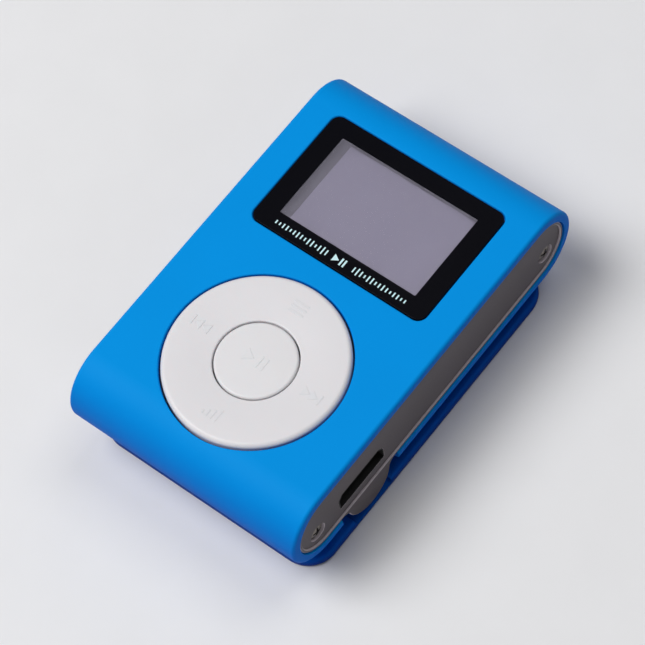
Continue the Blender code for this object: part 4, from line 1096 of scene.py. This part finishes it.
def make_knob():
    """Power switch knob with grip ribs."""
    middle_y = (KNOB_LOW.y + KNOB_HIGH.y) / 2
    middle_z = (KNOB_LOW.z + KNOB_HIGH.z) / 2
    tab = rounded_rectangle(KNOB_HIGH.y - KNOB_LOW.y, KNOB_HIGH.z - KNOB_LOW.z, 0.25 * MM,
                            (middle_y, middle_z), 6)
    outer_x = -KNOB_LOW.x
    tab_x = CAP_INNER_X + 0.15 * MM
    knob = prism("knob", tab, tab_x, outer_x, 0.0, 0.15 * MM, face_left)
    stem = rounded_rectangle(*KNOB_STEM, 0.1 * MM, (middle_y, middle_z), 3)
    carve(knob, prism("stem_tool", stem, -KNOB_HIGH.x, tab_x + 0.3 * MM, place=face_left), "UNION")
    for step in (-1, 0, 1):
        groove = rounded_rectangle(*KNOB_GROOVE, 0.1 * MM, (middle_y + step * KNOB_GROOVE_STEP, middle_z), 4)
        carve(knob, prism("groove_tool", groove, outer_x - 0.18 * MM, outer_x + PAST, place=face_left))
    finished(knob, "switch", PLASTIC_BLACK, ["switch_knob"])


# Clip.

def lip_outline():
    """Half-ellipse of the jaw's lip in (y, z), from inside the plate to just below the player's back."""
    rise = BACK_Z - 0.1 * MM - CLIP_THICKNESS
    curve = [(LIP_Y + LIP_RADIUS * math.cos(angle), CLIP_THICKNESS + rise * math.sin(angle))
             for angle in (math.pi * step / 24 for step in range(25))]
    root_z = CLIP_THICKNESS - LIP_ROOT
    return [(LIP_Y + LIP_RADIUS, root_z)] + curve + [(LIP_Y - LIP_RADIUS, root_z)]


def make_clip():
    """Sprung clip: a flat plate with soft edges, grip grooves, pivot lugs and the jaw's lip."""
    width = CLIP_HIGH.x - CLIP_LOW.x
    length = CLIP_HIGH.y - CLIP_LOW.y
    middle_y = (CLIP_HIGH.y + CLIP_LOW.y) / 2
    plan = rounded_rectangle(width, length, CLIP_CORNER, (0.0, middle_y), 14)
    plate = prism("clip", plan, 0.0, CLIP_THICKNESS, CLIP_EDGE_ROUND, CLIP_EDGE_ROUND)
    lip_half = width / 2 - LIP_INSET
    lip = prism("lip_tool", lip_outline(), -lip_half, lip_half, 0.2 * MM, 0.2 * MM, face_right)
    carve(plate, lip, "UNION")
    add_lugs(plate)
    for index in range(GRIP_COUNT):
        groove_y = CLIP_LOW.y + GRIP_START + GRIP_STEP * index
        groove = circle((groove_y, -GRIP_DROP), GRIP_RADIUS, 24)
        carve(plate, prism("grip_tool", groove, -GRIP_HALF, GRIP_HALF, 0.3 * MM, 0.3 * MM, face_right))
    return finished(plate, "clip", CLIP_BLUE_PAINTED_SHADE, ["clip_plate"])


def add_lugs(plate):
    """Pivot lugs round the pin, the pockets that clear the caps' ears, and the spring's trough and groove."""
    lug = circle((HINGE_Y, HINGE_Z), LUG_RADIUS, 48)
    web = rounded_rectangle(LUG_WEB, HINGE_Z - 0.5 * MM, 0.3 * MM, (HINGE_Y, HINGE_Z / 2 + 0.25 * MM), 3)
    pocket = rounded_rectangle(*EAR_POCKET, 0.4 * MM, (HINGE_Y, EAR_POCKET_FLOOR + CLIP_THICKNESS), 5)
    pocket_x = CAP_INNER_X - 0.3 * MM
    for place in (face_right, face_left):
        carve(plate, prism("lug_tool", lug, LUG_INNER_X, LUG_OUTER_X, 0.1 * MM, 0.1 * MM, place), "UNION")
        carve(plate, prism("web_tool", web, LUG_INNER_X, LUG_OUTER_X, 0.12 * MM, 0.12 * MM, place), "UNION")
        carve(plate, prism("pocket_tool", pocket, pocket_x, CLIP_HIGH.x + PAST, place=place))
    bore = circle((HINGE_Y, HINGE_Z), LUG_BORE, 32)
    carve(plate, prism("bore_tool", bore, CLIP_LOW.x * 2, CLIP_HIGH.x * 2, place=face_right))
    trough = rounded_rectangle(*COIL_TROUGH, 0.5 * MM, (0.0, HINGE_Y), 5)
    carve(plate, prism("trough_tool", trough, CLIP_THICKNESS - COIL_TROUGH_DEPTH, CLIP_THICKNESS + 2 * PAST))
    groove = rounded_rectangle(*LEG_GROOVE, 0.25 * MM, (LEG_GROOVE_X, HINGE_Y - LEG_GROOVE[1] / 2), 4)
    carve(plate, prism("leg_tool", groove, LEG_GROOVE_FLOOR, CLIP_THICKNESS + 2 * PAST))


# Stage.

def make_floor():
    """Large pale floor."""
    shape = bmesh.new()
    bmesh.ops.create_grid(shape, x_segments=2, y_segments=2, size=3.0)
    floor = mesh_object("floor", shape)
    floor.data.materials.append(floor_finish())


def area_light(name, place, size, power, colour=(1.0, 1.0, 1.0)):
    """Square area light that faces the player."""
    data = bpy.data.lights.new(name, "AREA")
    data.shape = "SQUARE"
    data.size = size
    data.energy = power
    data.color = colour
    light = bpy.data.objects.new(name, data)
    light.location = place
    target = Vector((0.0, 0.0, MID_Z))
    light.rotation_euler = (target - Vector(place)).to_track_quat("-Z", "Y").to_euler()
    bpy.context.scene.collection.objects.link(light)


def make_lights():
    """Soft overhead key from the left, a weak fill, and a dim pale surround."""
    area_light("key_light", (-0.34, -0.30, 0.80), 0.55, 7.2)
    area_light("top_light", (0.10, 0.42, 0.85), 0.45, 1.6)
    area_light("fill_light", (0.70, -0.45, 0.35), 0.50, 0.5)
    world = bpy.data.worlds.new("studio")
    world.use_nodes = True
    tree = world.node_tree
    background = tree.nodes["Background"]
    place = tree.nodes.new("ShaderNodeTexCoord")
    split = tree.nodes.new("ShaderNodeSeparateXYZ")
    ramp = tree.nodes.new("ShaderNodeValToRGB")
    ramp.color_ramp.elements[0].position = 0.0
    ramp.color_ramp.elements[0].color = (0.27, 0.27, 0.28, 1.0)
    ramp.color_ramp.elements[1].position = 0.55
    ramp.color_ramp.elements[1].color = (0.09, 0.09, 0.095, 1.0)
    tree.links.new(place.outputs["Generated"], split.inputs["Vector"])
    tree.links.new(split.outputs["Z"], ramp.inputs["Fac"])
    tree.links.new(ramp.outputs["Color"], background.inputs["Color"])
    background.inputs["Strength"].default_value = 1.0
    bpy.context.scene.world = world


def make_camera():
    """Camera at the photograph's viewing angle."""
    data = bpy.data.cameras.new("camera")
    data.lens = CAMERA_LENS_MM
    data.sensor_width = 36.0
    data.clip_start = 0.01
    camera = bpy.data.objects.new("camera", data)
    camera.location = [value * MM for value in CAMERA_PLACE_MM]
    camera.rotation_euler = [math.radians(value) for value in CAMERA_TURN]
    bpy.context.scene.collection.objects.link(camera)
    bpy.context.scene.camera = camera


make_camera()
make_floor()
make_lights()
finish_inner_nodes()
make_sleeve()
make_ring()
make_button()
make_marks()
make_lens()
make_display()
make_print()
make_right_cap()
make_left_cap()
make_screws()
make_usb()
make_jack()
make_knob()
make_clip()
bpy.context.scene.view_settings.view_transform = "Standard"
